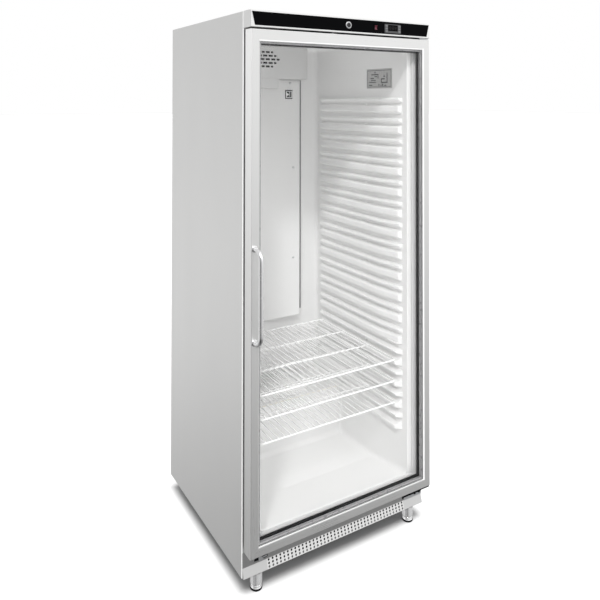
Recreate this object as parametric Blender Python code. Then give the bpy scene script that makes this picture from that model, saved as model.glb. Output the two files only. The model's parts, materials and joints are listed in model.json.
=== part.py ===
"""Upright proofing cabinet with one glass door, hinged on the right.

Built in metres, Z up, from sizes in millimetres. The front faces -Y and X runs to
the viewer's right. The origin lies on the floor, at mid width and 280 mm behind the
front plane of the body. Depths (y) count back from that plane.
"""

import math

import bmesh
import bpy
from mathutils import Matrix, Vector

# ---------------------------------------------------------- shared dimensions
MM = 0.001
FRONT_PLANE = -280.0  # where depth 0 lies along Y
WIDTH, BODY_DEPTH, HEIGHT = 770.0, 655.0, 1895.0
HALF = WIDTH / 2
SKIRT_Z = 55.0  # underside of the body
SHEET = 1.0
REAR_SHEET = 1.1
GAP = 0.3  # clearance between neighbouring pieces
OVERCUT = 5.0  # how far a cutter runs past the face it opens

# Space inside the casing sheet
INNER_HALF = HALF - SHEET - GAP
INNER_FRONT = SHEET + GAP
INNER_BACK = BODY_DEPTH - REAR_SHEET - GAP
INNER_TOP = HEIGHT - SHEET - GAP

# Chamber: its walls draw in towards the rear
MOUTH_HALF, BACK_HALF = 320.0, 302.0
CHAMBER_BACK = 605.0
FIT_BACK = CHAMBER_BACK - GAP  # back of the pieces set against the rear wall
CEILING_Z, CEILING_Y = 1835.0, 48.0
TOP_LIP_Z, TOP_LIP_Y = 1790.0, 25.0  # the front edge hangs below the ceiling
LIP_Z, FLOOR_Z = 180.0, 152.0
FLOOR_BREAK_Y = 200.0  # the floor slopes down from the lip to here
HUMP_Y, HUMP_Z = 420.0, 355.0  # step over the machine compartment
LINER_WALL = 2.0

# Shelf ledges moulded in the side walls
RIB_TOP_Z, RIB_PITCH, RIB_PAIRS = 1611.0, 81.0, 16

# Door and hinge pins
DOOR_HALF = 382.0
DOOR_Z0, DOOR_Z1 = 145.0, 1833.0
DOOR_FRONT, DOOR_BACK = -55.0, -10.0
PIN_AT = (362.0, -35.0)  # x, y
PIN_R, BORE_R = 4.0, 4.5
DOOR_PIVOT = (*PIN_AT, DOOR_Z0)

# Lock bolt, which drops from the control housing into the door
BOLT_X = -53.0
BOLT_SLOT_Y = (-38, -24)


# ------------------------------------------------------------------- helpers
def point(x, y, z):
    """Metres from millimetres, with y counted from the front plane."""
    return Vector((x * MM, (y + FRONT_PLANE) * MM, z * MM))


def about(centre, half):
    """Range that reaches half to each side of a centre."""
    return centre - half, centre + half


def inset(span, margin):
    """Range drawn in at both ends."""
    return span[0] + margin, span[1] - margin


def centred_row(count, pitch):
    return [(i - (count - 1) / 2) * pitch for i in range(count)]


def link_object(mesh):
    obj = bpy.data.objects.new("part", mesh)
    bpy.context.scene.collection.objects.link(obj)
    return obj


def solid(verts, faces):
    """Object from points in metres, with its faces turned outwards."""
    mesh = bpy.data.meshes.new("part")
    mesh.from_pydata([tuple(v) for v in verts], [], faces)
    bm = bmesh.new()
    bm.from_mesh(mesh)
    bmesh.ops.recalc_face_normals(bm, faces=bm.faces)
    if bm.calc_volume(signed=True) < 0:
        bmesh.ops.reverse_faces(bm, faces=bm.faces)
    bm.to_mesh(mesh)
    bm.free()
    return link_object(mesh)


def box(x_range, y_range, z_range):
    verts = [point(x, y, z) for x in x_range for y in y_range for z in z_range]
    faces = [(0, 1, 3, 2), (4, 6, 7, 5), (0, 4, 5, 1), (2, 3, 7, 6), (0, 2, 6, 4), (1, 5, 7, 3)]
    return solid(verts, faces)


def skin(rings):
    """Closed solid through rings of points in metres, all with the same count."""
    n = len(rings[0])
    last = (len(rings) - 1) * n
    faces = [tuple(range(n)), tuple(range(last + n - 1, last - 1, -1))]
    for base in range(0, last, n):
        for i in range(n):
            j = (i + 1) % n
            faces.append((base + i, base + j, base + n + j, base + n + i))
    return solid([p for ring in rings for p in ring], faces)


def loft(*rings):
    """Closed solid through rings of (x, y, z) in millimetres."""
    return skin([[point(*p) for p in ring] for ring in rings])


def prism_x(profile, x_range):
    """Profile of (y, z) extruded along X."""
    return loft(*([(x, y, z) for y, z in profile] for x in x_range))


def prism_y(profile, y_range):
    """Profile of (x, z) extruded along Y."""
    return loft(*([(x, y, z) for x, z in profile] for y in y_range))


def circle(u, v, radius, sides):
    angles = [2 * math.pi * i / sides for i in range(sides)]
    return [(u + radius * math.cos(a), v + radius * math.sin(a)) for a in angles]


def bar_y(y_range, at, radius, sides=20):
    """Round bar along Y, centred on at = (x, z)."""
    return prism_y(circle(*at, radius, sides), y_range)


def turned(profile, at, sides):
    """Profile of (radius, z), bottom to top, turned about the vertical at (x, y)."""
    return loft(*([(x, y, z) for x, y in circle(*at, r, sides)] for r, z in profile))


def bar_z(z_range, at, radius, sides=20):
    """Round bar along Z, centred on at = (x, y)."""
    return turned([(radius, z) for z in z_range], at, sides)


def tube(path, radius, sides):
    """Round tube along a path of (x, y, z) in one plane of constant x."""
    across = Vector((1, 0, 0))
    pts = [point(*p) for p in path]
    rings = []
    for i, here in enumerate(pts):
        before = pts[max(i - 1, 0)]
        after = pts[min(i + 1, len(pts) - 1)]
        other = (after - before).normalized().cross(across).normalized()
        stretch = 1.0  # widens the ring at a bend, to keep the tube's thickness
        if 0 < i < len(pts) - 1:
            bend = (after - here).normalized().angle((here - before).normalized())
            stretch = 1 / math.cos(bend / 2)
        rings.append(
            [here + across * u + other * (stretch * v) for u, v in circle(0, 0, radius * MM, sides)]
        )
    return skin(rings)


def frame_ring(half, y_range, z_range, border, top_border=None):
    """Rectangular ring facing the front, centred on x = 0."""
    z0, z1 = z_range
    top = border if top_border is None else top_border
    outer = [(-half, z0), (half, z0), (half, z1), (-half, z1)]
    hole_half, hole_z0, hole_z1 = half - border, z0 + border, z1 - top
    inner = [
        (-hole_half, hole_z0),
        (hole_half, hole_z0),
        (hole_half, hole_z1),
        (-hole_half, hole_z1),
    ]
    verts = [point(x, y, z) for y in y_range for ring in (outer, inner) for x, z in ring]
    faces = []
    for i in range(4):
        j = (i + 1) % 4
        faces.append((i, j, 4 + j, 4 + i))
        faces.append((8 + i, 12 + i, 12 + j, 8 + j))
        faces.append((i, 8 + i, 8 + j, j))
        faces.append((4 + i, 4 + j, 12 + j, 12 + i))
    return solid(verts, faces)


def joined(objects):
    """One object holding every mesh of the list, with no Boolean."""
    bm = bmesh.new()
    for obj in objects:
        bm.from_mesh(obj.data)
        bpy.data.objects.remove(obj, do_unlink=True)
    mesh = bpy.data.meshes.new("part")
    bm.to_mesh(mesh)
    bm.free()
    return link_object(mesh)


def boolean(obj, others, operation):
    """Applies each of the others in turn and removes it."""
    for other in others:
        modifier = obj.modifiers.new("boolean", "BOOLEAN")
        modifier.operation = operation
        modifier.solver = "EXACT"
        modifier.object = other
        bpy.context.view_layer.update()
        graph = bpy.context.evaluated_depsgraph_get()
        mesh = bpy.data.meshes.new_from_object(obj.evaluated_get(graph))
        obj.modifiers.clear()
        obj.data = mesh
        bpy.data.objects.remove(other, do_unlink=True)
    return obj


def cut(obj, *cutters):
    return boolean(obj, cutters, "DIFFERENCE")


def unite(obj, *others):
    return boolean(obj, others, "UNION")


def material(name, colour, roughness, metallic=0.0):
    mat = bpy.data.materials.new(name)
    mat.use_nodes = True
    shader = mat.node_tree.nodes["Principled BSDF"]
    shader.inputs["Base Color"].default_value = (*colour, 1.0)
    shader.inputs["Roughness"].default_value = roughness
    shader.inputs["Metallic"].default_value = metallic
    return mat


def finish(obj, name, mat, smooth=False, pivot=None):
    """Names the object, gives it its material and puts its origin at the pivot."""
    obj.name = name
    obj.data.name = name
    obj.data.materials.clear()
    obj.data.materials.append(mat)
    if pivot is not None:
        obj.data.transform(Matrix.Translation(-point(*pivot)))
        obj.location = point(*pivot)
    if smooth:
        obj.data.shade_smooth()
        obj.data.set_sharp_from_angle(angle=math.radians(35))
    else:
        obj.data.shade_flat()


for old in list(bpy.data.objects):
    bpy.data.objects.remove(old, do_unlink=True)

# ----------------------------------------------------------------- materials
INOX = material("satin_grey_steel", colour=(0.60, 0.60, 0.59), roughness=0.38, metallic=0.75)
GALVANISED = material("galvanised_sheet", colour=(0.55, 0.56, 0.57), roughness=0.45, metallic=0.9)
FOAM = material("polyurethane_foam", colour=(0.80, 0.72, 0.48), roughness=0.95)
ABS = material("white_abs", colour=(0.86, 0.86, 0.85), roughness=0.42)
DUCT = material("white_duct_plastic", colour=(0.82, 0.82, 0.81), roughness=0.45)
BLACK = material("black_fascia", colour=(0.012, 0.012, 0.014), roughness=0.25)
RUBBER = material("black_rubber", colour=(0.02, 0.02, 0.02), roughness=0.7)
CHROME = material("chrome", colour=(0.83, 0.83, 0.84), roughness=0.12, metallic=1.0)
STEEL = material("zinc_steel", colour=(0.55, 0.55, 0.55), roughness=0.35, metallic=1.0)
ALUMINIUM = material("aluminium", colour=(0.72, 0.73, 0.74), roughness=0.3, metallic=1.0)
GREY = material("grey_plastic", colour=(0.42, 0.43, 0.44), roughness=0.5)
KEY = material("light_grey_key", colour=(0.62, 0.63, 0.64), roughness=0.45)
RED = material("red_rocker", colour=(0.55, 0.02, 0.02), roughness=0.3)
GLASS = material("glass", colour=(0.90, 0.94, 0.93), roughness=0.03)
GASKET = material("grey_gasket", colour=(0.50, 0.50, 0.50), roughness=0.7)
WIRE = material("white_coated_wire", colour=(0.88, 0.88, 0.87), roughness=0.35)
LABEL = material("grey_label", colour=(0.48, 0.48, 0.47), roughness=0.5)
DARK = material("dark_enamel", colour=(0.03, 0.03, 0.035), roughness=0.4)

# -------------------------------------------------------------- outer casing
RETURN_HALF = 340.0  # inner edge of the strips that fold over the front
RETURN_Z = TOP_LIP_Z + 15

# Side and top sheets, open at the front, back and bottom
casing = box(about(0, HALF), (0, BODY_DEPTH), (SKIRT_Z, HEIGHT))
cut(
    casing,
    box(
        about(0, HALF - SHEET),
        (-OVERCUT, BODY_DEPTH + OVERCUT),
        (SKIRT_Z - OVERCUT, HEIGHT - SHEET),
    ),
)
edge_x, edge_z = HALF - SHEET / 2, HEIGHT - SHEET / 2  # middle of the sheet
unite(
    casing,
    box((-edge_x, -RETURN_HALF), (0, SHEET), (SKIRT_Z, edge_z)),
    box((RETURN_HALF, edge_x), (0, SHEET), (SKIRT_Z, edge_z)),
    box(about(0, RETURN_HALF + 1), (0, SHEET), (RETURN_Z, edge_z)),
)
finish(casing, "outer_casing", INOX)


# --------------------------------------------------------------------- liner
FLANGE_Z0 = LIP_Z - 18
RIB_TIP = 288.0  # half distance between facing ledges
RIB_CHAMFER, RIB_SLOPE = 3, 10
UPPER_RIB_Y, UPPER_RIB_DEEP = (28, 562), 8
LOWER_RIB_Y, LOWER_RIB_DEEP = (34, 556), 13


def half_at(y):
    """Half width of the chamber at a depth."""
    return MOUTH_HALF + (BACK_HALF - MOUTH_HALF) * y / CHAMBER_BACK


def chamber(grow, y_front):
    """The chamber as a solid, grown outwards by a wall."""
    profile = [  # y, z
        (y_front, LIP_Z - grow),
        (0.0, LIP_Z - grow),
        (FLOOR_BREAK_Y, FLOOR_Z - grow),
        (HUMP_Y + grow, FLOOR_Z - grow),
        (HUMP_Y + grow, HUMP_Z - grow),
        (CHAMBER_BACK + grow, HUMP_Z - grow),
        (CHAMBER_BACK + grow, CEILING_Z + grow),
        (CEILING_Y - grow, CEILING_Z + grow),
        (TOP_LIP_Y - grow, TOP_LIP_Z + grow),
        (y_front, TOP_LIP_Z + grow),
    ]
    return loft(*([(side * (half_at(y) + grow), y, z) for y, z in profile] for side in (-1, 1)))


def rib(side, top, y_range, deep):
    """Ledge on one side wall, sunk 1 mm into it."""
    rings = []
    for y in y_range:
        wall = half_at(y) + 1.0
        outline = [  # x, z
            (wall, top),
            (RIB_TIP + RIB_CHAMFER, top),
            (RIB_TIP, top - RIB_CHAMFER),
            (RIB_TIP, top - deep),
            (wall, top - deep - RIB_SLOPE),
        ]
        rings.append([(side * x, y, z) for x, z in outline])
    return loft(*rings)


ribs = []
for side in (-1, 1):
    for k in range(RIB_PAIRS):
        top = RIB_TOP_Z - RIB_PITCH * k
        ribs.append(rib(side, top, UPPER_RIB_Y, UPPER_RIB_DEEP))
        low = top - RIB_PITCH / 2
        y_front, y_back = LOWER_RIB_Y
        if low - LOWER_RIB_DEEP - RIB_SLOPE <= HUMP_Z:
            y_back = HUMP_Y + 1  # stops in the step
        ribs.append(rib(side, low, (y_front, y_back), LOWER_RIB_DEEP))

liner = chamber(grow=LINER_WALL, y_front=1.0)
flange = box(about(0, RETURN_HALF - GAP), (0.0, LINER_WALL), (FLANGE_Z0, RETURN_Z - GAP))
unite(liner, flange)
cut(liner, chamber(grow=0.0, y_front=-OVERCUT))
unite(liner, joined(ribs))
finish(liner, "inner_liner", ABS)

# ------------------------------------------------ foam, rear sheets and tray
MACHINE_BAY = ((-372, 372), (452, 700), (40, 328))  # x, y, z ranges
REAR_SPLIT_Z = 334
REAR_Y = (BODY_DEPTH - REAR_SHEET, BODY_DEPTH)
TRAY_TOP = SKIRT_Z + 2
SLOT_WIDTH, SLOT_HEIGHT = 100, 8

foam = box(about(0, INNER_HALF), (INNER_FRONT, INNER_BACK), (60, INNER_TOP))
cut(
    foam,
    chamber(grow=LINER_WALL + GAP, y_front=-OVERCUT),
    box(about(0, RETURN_HALF), (-OVERCUT, LINER_WALL + GAP), (FLANGE_Z0 - GAP, RETURN_Z)),
    box(*MACHINE_BAY),
)
finish(foam, "foam_insulation", FOAM)

rear = box(about(0, INNER_HALF), REAR_Y, (REAR_SPLIT_Z, INNER_TOP))
finish(rear, "rear_panel", GALVANISED)

# Tray with a low upstand along its front edge
tray = box(about(0, INNER_HALF), (INNER_FRONT, INNER_BACK), (SKIRT_Z, TRAY_TOP))
upstand_y = (INNER_FRONT, INNER_FRONT + 1.5)
unite(tray, box(about(0, INNER_HALF), upstand_y, (SKIRT_Z, SKIRT_Z + 4.6)))
finish(tray, "base_tray", GALVANISED)

cover = box(about(0, INNER_HALF), REAR_Y, (SKIRT_Z + 1, REAR_SPLIT_Z - 0.5))
slots = [
    box((x, x + SLOT_WIDTH), about(BODY_DEPTH, OVERCUT), (z, z + SLOT_HEIGHT))
    for x in range(-330, 246, 115)
    for z in range(110, 261, 30)
]
cut(cover, joined(slots))
finish(cover, "machine_cover", GALVANISED)

# ------------------------------------------------------------- kick panel
KICK_FRONT = -GAP - SHEET
KICK_COLUMNS, KICK_PITCH = 40, 14.7
KICK_ROWS = (63.5, 73.0, 82.5)  # z
HOLE_HALF = 2.5
KICK_SLOTS_X = ((-342, -290), (290, 342))

kick = box(about(0, HALF - 2), (KICK_FRONT, -GAP), (SKIRT_Z + 1, 136))
holes = [
    box(about(x, HOLE_HALF), about(0, OVERCUT), about(z, HOLE_HALF))
    for x in centred_row(KICK_COLUMNS, KICK_PITCH)
    for z in KICK_ROWS
]
holes += [box(x_range, about(0, OVERCUT), (92, 108)) for x_range in KICK_SLOTS_X]
cut(kick, joined(holes))
finish(kick, "kick_panel", INOX)

# ------------------------------------------------------------ hinge brackets
BRACKET_X, BRACKET_FRONT = (338, 383), -50
BRACKET_BACK = KICK_FRONT - GAP  # back of the pieces set on the kick panel
LOW_PLATE_Y = (BRACKET_BACK - 3, BRACKET_BACK)
LOW_ARM_Z = (138, 142)
TAB_X = (-325, -307)

# Angle on the left, with its arm at the top
spare = box(TAB_X, (BRACKET_BACK - 2, BRACKET_BACK), (90, 122))
unite(spare, box(TAB_X, (-30, -2), (119, 122)))
finish(spare, "spare_hinge_tab", STEEL)

# Each bracket is an arm, a plate on the body and a pin
top_bracket = box(BRACKET_X, (BRACKET_FRONT, -GAP), (1834.0, 1837.4))
unite(
    top_bracket,
    box((364, 383), (-1.8, -GAP), (1790, 1836)),
    bar_z((1812, 1836), PIN_AT, PIN_R),
)
finish(top_bracket, "hinge_bracket_top", STEEL)

low_bracket = box(BRACKET_X, (BRACKET_FRONT, BRACKET_BACK), LOW_ARM_Z)
unite(
    low_bracket,
    box(BRACKET_X, LOW_PLATE_Y, (88, 141)),
    box((296, 339), LOW_PLATE_Y, (88, 96)),
    bar_z((140, 163), PIN_AT, PIN_R),
)
finish(low_bracket, "hinge_bracket_bottom", STEEL)

# ------------------------------------------------ control housing and fascia
HOUSING_FRONT, HOUSING_WALL = -53.5, 1.2
HOUSING_Z = (1838.0, HEIGHT)
PLATE_BACK = HOUSING_FRONT - GAP
PLATE_FRONT = PLATE_BACK - 1.5
MOUNT_Y = PLATE_FRONT - GAP  # back of the bezels set on the fascia plate
MID_Z = 1866.0  # height of the lock and rocker

LOCK_AT = (0.0, MID_Z)  # x, z
LOCK_BODY_R = 9.9
ROCKER_X = 123.0
ROCKER_BODY = (7.5, 10.9)  # half width, half height
CONTROL_X, CONTROL_Z = 200.0, 1864.0
CONTROL_BODY = (35.4, 13.6)  # half width, half height
CONTROL_PLAY = 0.4


def panel_box(x, z, half_x, half_z, y_range):
    """Box centred at (x, z) on the control panel."""
    return box(about(x, half_x), y_range, about(z, half_z))


def fascia_openings():
    """Cutters for the lock, rocker and controller."""
    depth = (-60, -45)
    rocker_x, rocker_z = (half + GAP for half in ROCKER_BODY)
    control_x, control_z = (half + CONTROL_PLAY for half in CONTROL_BODY)
    return (
        bar_y(depth, LOCK_AT, LOCK_BODY_R + GAP),
        panel_box(ROCKER_X, MID_Z, rocker_x, rocker_z, depth),
        panel_box(CONTROL_X, CONTROL_Z, control_x, control_z, depth),
    )


housing = box(about(0, HALF), (HOUSING_FRONT, -GAP), HOUSING_Z)
cut(
    housing,
    box(
        about(0, HALF - HOUSING_WALL),
        (HOUSING_FRONT + HOUSING_WALL, OVERCUT),
        inset(HOUSING_Z, HOUSING_WALL),
    ),
    *fascia_openings(),
    box(about(BOLT_X, 6), BOLT_SLOT_Y, (1830, 1842)),
)
finish(housing, "control_housing", INOX)

PLATE_OUTLINE = [(-369, 1844.5), (369, 1844.5), (380, 1889), (-380, 1889)]  # x, z
plate = prism_y(PLATE_OUTLINE, (PLATE_FRONT, PLATE_BACK))
cut(plate, *fascia_openings())
finish(plate, "fascia_plate", BLACK)

# ------------------------------------------------------------------------ lock
bezel = bar_y((MOUNT_Y - 3, MOUNT_Y), LOCK_AT, 13.0, sides=24)
unite(bezel, bar_y((-57, -34), LOCK_AT, LOCK_BODY_R, sides=24))
cut(bezel, bar_y((-65, -30), LOCK_AT, 8.0, sides=24))
finish(bezel, "lock_bezel", CHROME, smooth=True)

# Barrel with a collar and an arm behind, and a keyway in front
COLLAR_Y = (-30, -24)
barrel = bar_y((-60.5, -20), LOCK_AT, 7.6, sides=24)
unite(
    barrel,
    bar_y(COLLAR_Y, LOCK_AT, 9.0, sides=24),
    box((-18, -5), COLLAR_Y, about(MID_Z, 3)),
)
cut(barrel, panel_box(*LOCK_AT, 1.2, 5, (-65, -54)))
finish(barrel, "lock_barrel", CHROME, smooth=True, pivot=(LOCK_AT[0], -40, MID_Z))

bolt = box(about(BOLT_X, 4.5), (-35, -27), (1835.2, 1872))
unite(bolt, box((BOLT_X, -19), (-35, -31), about(MID_Z, 5)))
finish(bolt, "lock_bolt", STEEL)

# --------------------------------------------------------------- rocker switch
ROCKER_PIVOT_Y, ROCKER_TILT = -50.0, math.radians(7.0)
ROCKER_PROFILE = (  # y, z about the pivot
    (-7.5, 7.8), (-4.6, 0.6), (-4.6, -0.6), (-7.5, -7.8),
    (-2.5, -7.8), (4.0, -3.4), (4.0, 3.4), (-2.5, 7.8),
)

socket = panel_box(ROCKER_X, MID_Z, 10, 13, (MOUNT_Y - 1.4, MOUNT_Y))
unite(socket, panel_box(ROCKER_X, MID_Z, *ROCKER_BODY, (-56, -32)))
cut(socket, panel_box(ROCKER_X, MID_Z, 6.2, 9.4, (-65, -40)))
finish(socket, "rocker_socket", DARK)

tilt_cos, tilt_sin = math.cos(ROCKER_TILT), math.sin(ROCKER_TILT)
tilted = [
    (y * tilt_cos - z * tilt_sin + ROCKER_PIVOT_Y, y * tilt_sin + z * tilt_cos + MID_Z)
    for y, z in ROCKER_PROFILE
]
rocker = prism_x(tilted, about(ROCKER_X, 5.8))
finish(rocker, "rocker_switch", RED, pivot=(ROCKER_X, ROCKER_PIVOT_Y, MID_Z))

# ------------------------------------------------------------------ controller
WINDOW_X = about(CONTROL_X, 23)
WINDOW_Z = (CONTROL_Z - 8.5, CONTROL_Z + 14)
WINDOW_BACK = -55.0
POCKET_FRONT = -62
KEY_HALF_X, KEY_HALF_Z = 5.0, 3.3
KEY_COLUMNS = {  # x from the controller's middle: names from the top down
    -30.2: ("key_light", "key_defrost", "key_power"),
    30.2: ("key_up", "key_set", "key_down"),
}
KEY_ROWS = (9.6, 0.0, -9.6)
KEYS = {
    name: (CONTROL_X + column, CONTROL_Z + row)
    for column, names in KEY_COLUMNS.items()
    for name, row in zip(names, KEY_ROWS)
}

control = panel_box(CONTROL_X, CONTROL_Z, 38, 16.5, (MOUNT_Y - 3.2, MOUNT_Y))
unite(control, panel_box(CONTROL_X, CONTROL_Z, *CONTROL_BODY, (-57, -14)))
pockets = [box(WINDOW_X, (POCKET_FRONT, WINDOW_BACK), WINDOW_Z)]
for x, z in KEYS.values():
    pocket_y = (POCKET_FRONT, -54.0)
    pockets.append(panel_box(x, z, KEY_HALF_X + GAP, KEY_HALF_Z + GAP, pocket_y))
cut(control, joined(pockets))
finish(control, "controller_body", GREY)

window = box(inset(WINDOW_X, GAP), (-58.2, WINDOW_BACK - GAP), inset(WINDOW_Z, GAP))
finish(window, "controller_window", BLACK)
for name, (x, z) in KEYS.items():
    key = panel_box(x, z, KEY_HALF_X, KEY_HALF_Z, (-59.8, -55.4))
    finish(key, name, KEY, pivot=(x, -58, z))

# ------------------------------------------------------- fan shroud and duct
COVER_WALL = 2.0
DUCT_HALF, DUCT_Y = 185.0, 563.0
DUCT_Z = (640.0, 1691.5)
SHROUD_HALF, SHROUD_Y = 205.0, 530.0
SHROUD_Z = (DUCT_Z[1] + 1, CEILING_Z - 1)
CHIN_TOP, CHIN_BOTTOM = SHROUD_Z[0] + 5, 1652
FAN_AT = (0.0, 1772.0)  # x, z
GRILLE_MID_Z, GRILLE_PITCH = FAN_AT[1] + 6, 15.5
GRILLE = (  # row numbers up from the middle, x range of each slot
    ((0,), ((-74, -50), (-41, -17), (-8, 16), (25, 49), (58, 74))),
    ((1, -1), ((-60, -50), (-41, -17), (-8, 16), (25, 49), (52, 60))),
    ((2, -2), ((-38, -17), (-8, 16), (25, 38))),
)

# Shroud with a tapered chin over the duct, hollow behind and open into the duct
shroud = box(about(0, SHROUD_HALF), (SHROUD_Y, FIT_BACK), SHROUD_Z)
chin = [(-60, CHIN_TOP), (-52, CHIN_BOTTOM), (52, CHIN_BOTTOM), (60, CHIN_TOP)]
unite(shroud, prism_y(chin, (SHROUD_Y, DUCT_Y - GAP)))
grille_slots = [
    box(x_range, (SHROUD_Y - 5, SHROUD_Y + 6), about(GRILLE_MID_Z + row * GRILLE_PITCH, 3))
    for rows, slot_ranges in GRILLE
    for row in rows
    for x_range in slot_ranges
]
cut(
    shroud,
    box(
        about(0, SHROUD_HALF - COVER_WALL),
        (SHROUD_Y + COVER_WALL, CHAMBER_BACK + OVERCUT),
        inset(SHROUD_Z, COVER_WALL),
    ),
    box(
        about(0, 150),
        (DUCT_Y + 4, CHAMBER_BACK + OVERCUT),
        (SHROUD_Z[0] - OVERCUT, SHROUD_Z[0] + 10),
    ),
    joined(grille_slots),
)
finish(shroud, "fan_shroud", DUCT)

# Duct cover, open at both ends, with a tab at its lower right
TAB_FRONT, TAB_HEIGHT = FIT_BACK - 3, 26
duct = box(about(0, DUCT_HALF), (DUCT_Y, FIT_BACK), DUCT_Z)
cut(
    duct,
    box(
        about(0, DUCT_HALF - COVER_WALL),
        (DUCT_Y + COVER_WALL, CHAMBER_BACK + OVERCUT),
        inset(DUCT_Z, -OVERCUT),
    ),
)
tab_x = (DUCT_HALF - 1.5, DUCT_HALF + 24)
unite(duct, box(tab_x, (TAB_FRONT, FIT_BACK), (DUCT_Z[0], DUCT_Z[0] + TAB_HEIGHT)))
finish(duct, "duct_cover", DUCT)

# The knob is turned about the world origin, then tipped to face the front
KNOB_PROFILE = [(7.0, 0.0), (8.0, 2.0), (8.0, 12.0), (6.5, 14.0)]  # radius, z
knob = turned(KNOB_PROFILE, (0, -FRONT_PLANE), sides=16)
knob_place = point(DUCT_HALF + 14, TAB_FRONT - GAP, DUCT_Z[0] + TAB_HEIGHT / 2)
knob.data.transform(Matrix.Translation(knob_place) @ Matrix.Rotation(math.radians(90), 4, "X"))
finish(knob, "duct_knob", ABS, smooth=True)

# ----------------------------------------------------------------------- fan
BLADE_COUNT, FAN_R, BLADE_ROOT_R, BLADE_THICK = 5, 52.0, 10, 1.6
BLADE_CORNERS = (  # radius, angle in radians, y
    (BLADE_ROOT_R, -0.45, 553),
    (FAN_R, -0.42, 549),
    (FAN_R, 0.22, 563),
    (BLADE_ROOT_R, 0.35, 561),
)

motor = bar_y((572, FIT_BACK), FAN_AT, 24)
unite(motor, bar_y((560, 575), FAN_AT, 3, sides=12))
finish(motor, "fan_motor", DARK, smooth=True)


def blade(turn):
    front = [
        (r * math.cos(turn + a), y, FAN_AT[1] + r * math.sin(turn + a))
        for r, a, y in BLADE_CORNERS
    ]
    return loft(front, [(x, y + BLADE_THICK, z) for x, y, z in front])


fan = bar_y((548, 569), FAN_AT, 15)
unite(fan, *(blade(2 * math.pi * i / BLADE_COUNT) for i in range(BLADE_COUNT)))
cut(fan, bar_y((556, 580), FAN_AT, 3.4, sides=12))
finish(fan, "fan_blades", DARK, smooth=True, pivot=(0, 558, FAN_AT[1]))

# ------------------------------------------------- coil, heater, pan, probe
# Level strips crossed by two upright tubes
coil, *strips = [box(about(0, 165), (578, 596), (z, z + 3)) for z in range(1180, 1581, 50)]
unite(coil, *strips, *(bar_z((1172, 1634), (x, 587), 5, sides=8) for x in (-120, 120)))
finish(coil, "evaporator_coil", ALUMINIUM)

HEATER_Y = (583, 589)
heater = box(about(0, 120), HEATER_Y, (760, 766))
unite(heater, *(box(about(x, 3), HEATER_Y, (762, 1080)) for x in (-114, 114)))
finish(heater, "heater_element", STEEL)

PAN_HALF, PAN_Y, PAN_WALL = 150, (440, 590), 2
pan_z0 = HUMP_Z + GAP
pan = box(about(0, PAN_HALF), PAN_Y, (pan_z0, HUMP_Z + 30))
pan_hollow_z = (pan_z0 + PAN_WALL, HUMP_Z + 40)
cut(pan, box(about(0, PAN_HALF - PAN_WALL), inset(PAN_Y, PAN_WALL), pan_hollow_z))
finish(pan, "water_pan", GALVANISED)

PROBE_X = 125.5
clip = box(about(PROBE_X, 15.5), (555, DUCT_Y - GAP), (1611, 1642))
cut(clip, box(about(PROBE_X, 8.5), (550, 559), (1616, 1650)))
finish(clip, "probe_clip", ABS)
probe = bar_z((1618, 1640), (PROBE_X, 555.8), 2.5, sides=12)
finish(probe, "temperature_probe", STEEL, smooth=True)

# Label that follows the slant of the right wall
LABEL_Y, LABEL_Z, LABEL_THICK = (85, 240), (1650, 1730), 1.0
label_rings = []
for y in LABEL_Y:
    outer = half_at(y) - GAP
    inner = outer - LABEL_THICK
    z0, z1 = LABEL_Z
    label_rings.append([(outer, y, z0), (outer, y, z1), (inner, y, z1), (inner, y, z0)])
finish(loft(*label_rings), "label_plate", LABEL)

# --------------------------------------------------------- machine compartment
MACHINE_Z0 = TRAY_TOP + GAP
COMPRESSOR_AT = (-130, 552)  # x, y
COMPRESSOR_PROFILE = [  # radius, z
    (70, 75), (82, 85), (86, 120), (86, 190), (78, 215), (52, 232), (14, 238),
]

compressor = turned(COMPRESSOR_PROFILE, COMPRESSOR_AT, sides=24)
unite(
    compressor,
    box(about(COMPRESSOR_AT[0], 100), about(COMPRESSOR_AT[1], 52), (70, 78)),
    *(
        bar_z((MACHINE_Z0, 74), (x, y), 10, sides=12)
        for x in about(COMPRESSOR_AT[0], 85)
        for y in (515, 590)
    ),
)
finish(compressor, "compressor", DARK, smooth=True)

CONDENSER_X, CONDENSER_Y = (40, 330), (520, 560)
condenser = box(CONDENSER_X, CONDENSER_Y, (MACHINE_Z0, 62))
unite(
    condenser,
    *(box(x_range, CONDENSER_Y, (60, 260)) for x_range in ((40, 44), (326, 330))),
    *(
        box(inset(CONDENSER_X, 2), inset(CONDENSER_Y, 2), (z, z + 2.5))
        for z in range(80, 261, 20)
    ),
)
finish(condenser, "condenser", ALUMINIUM)

# --------------------------------------------------------------------- legs
FOOT_X = 327.0
FOOT_Y = {"front": 10.0, "rear": 631.0}
SLEEVE_PROFILE = [(19.0, 18.5), (20.0, 19.5), (20.0, SKIRT_Z - GAP)]  # radius, z
FOOT_PROFILE = [  # radius, z: the foot, then the stem that enters the sleeve
    (18.5, 0.0), (20.0, 1.0), (20.0, 4.0), (17.5, 5.0),
    (17.5, 15.5), (16.0, 17.5), (5.4, 17.9), (5.4, 46.0),
]

for end, y in FOOT_Y.items():
    for hand, x in (("left", -FOOT_X), ("right", FOOT_X)):
        sleeve = turned(SLEEVE_PROFILE, (x, y), sides=20)
        cut(sleeve, bar_z((10, 50), (x, y), 6.2, sides=12))
        finish(sleeve, f"leg_{end}_{hand}", CHROME, smooth=True)
        foot = turned(FOOT_PROFILE, (x, y), sides=20)
        finish(foot, f"foot_{end}_{hand}", CHROME, smooth=True, pivot=(x, y, 18))

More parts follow.
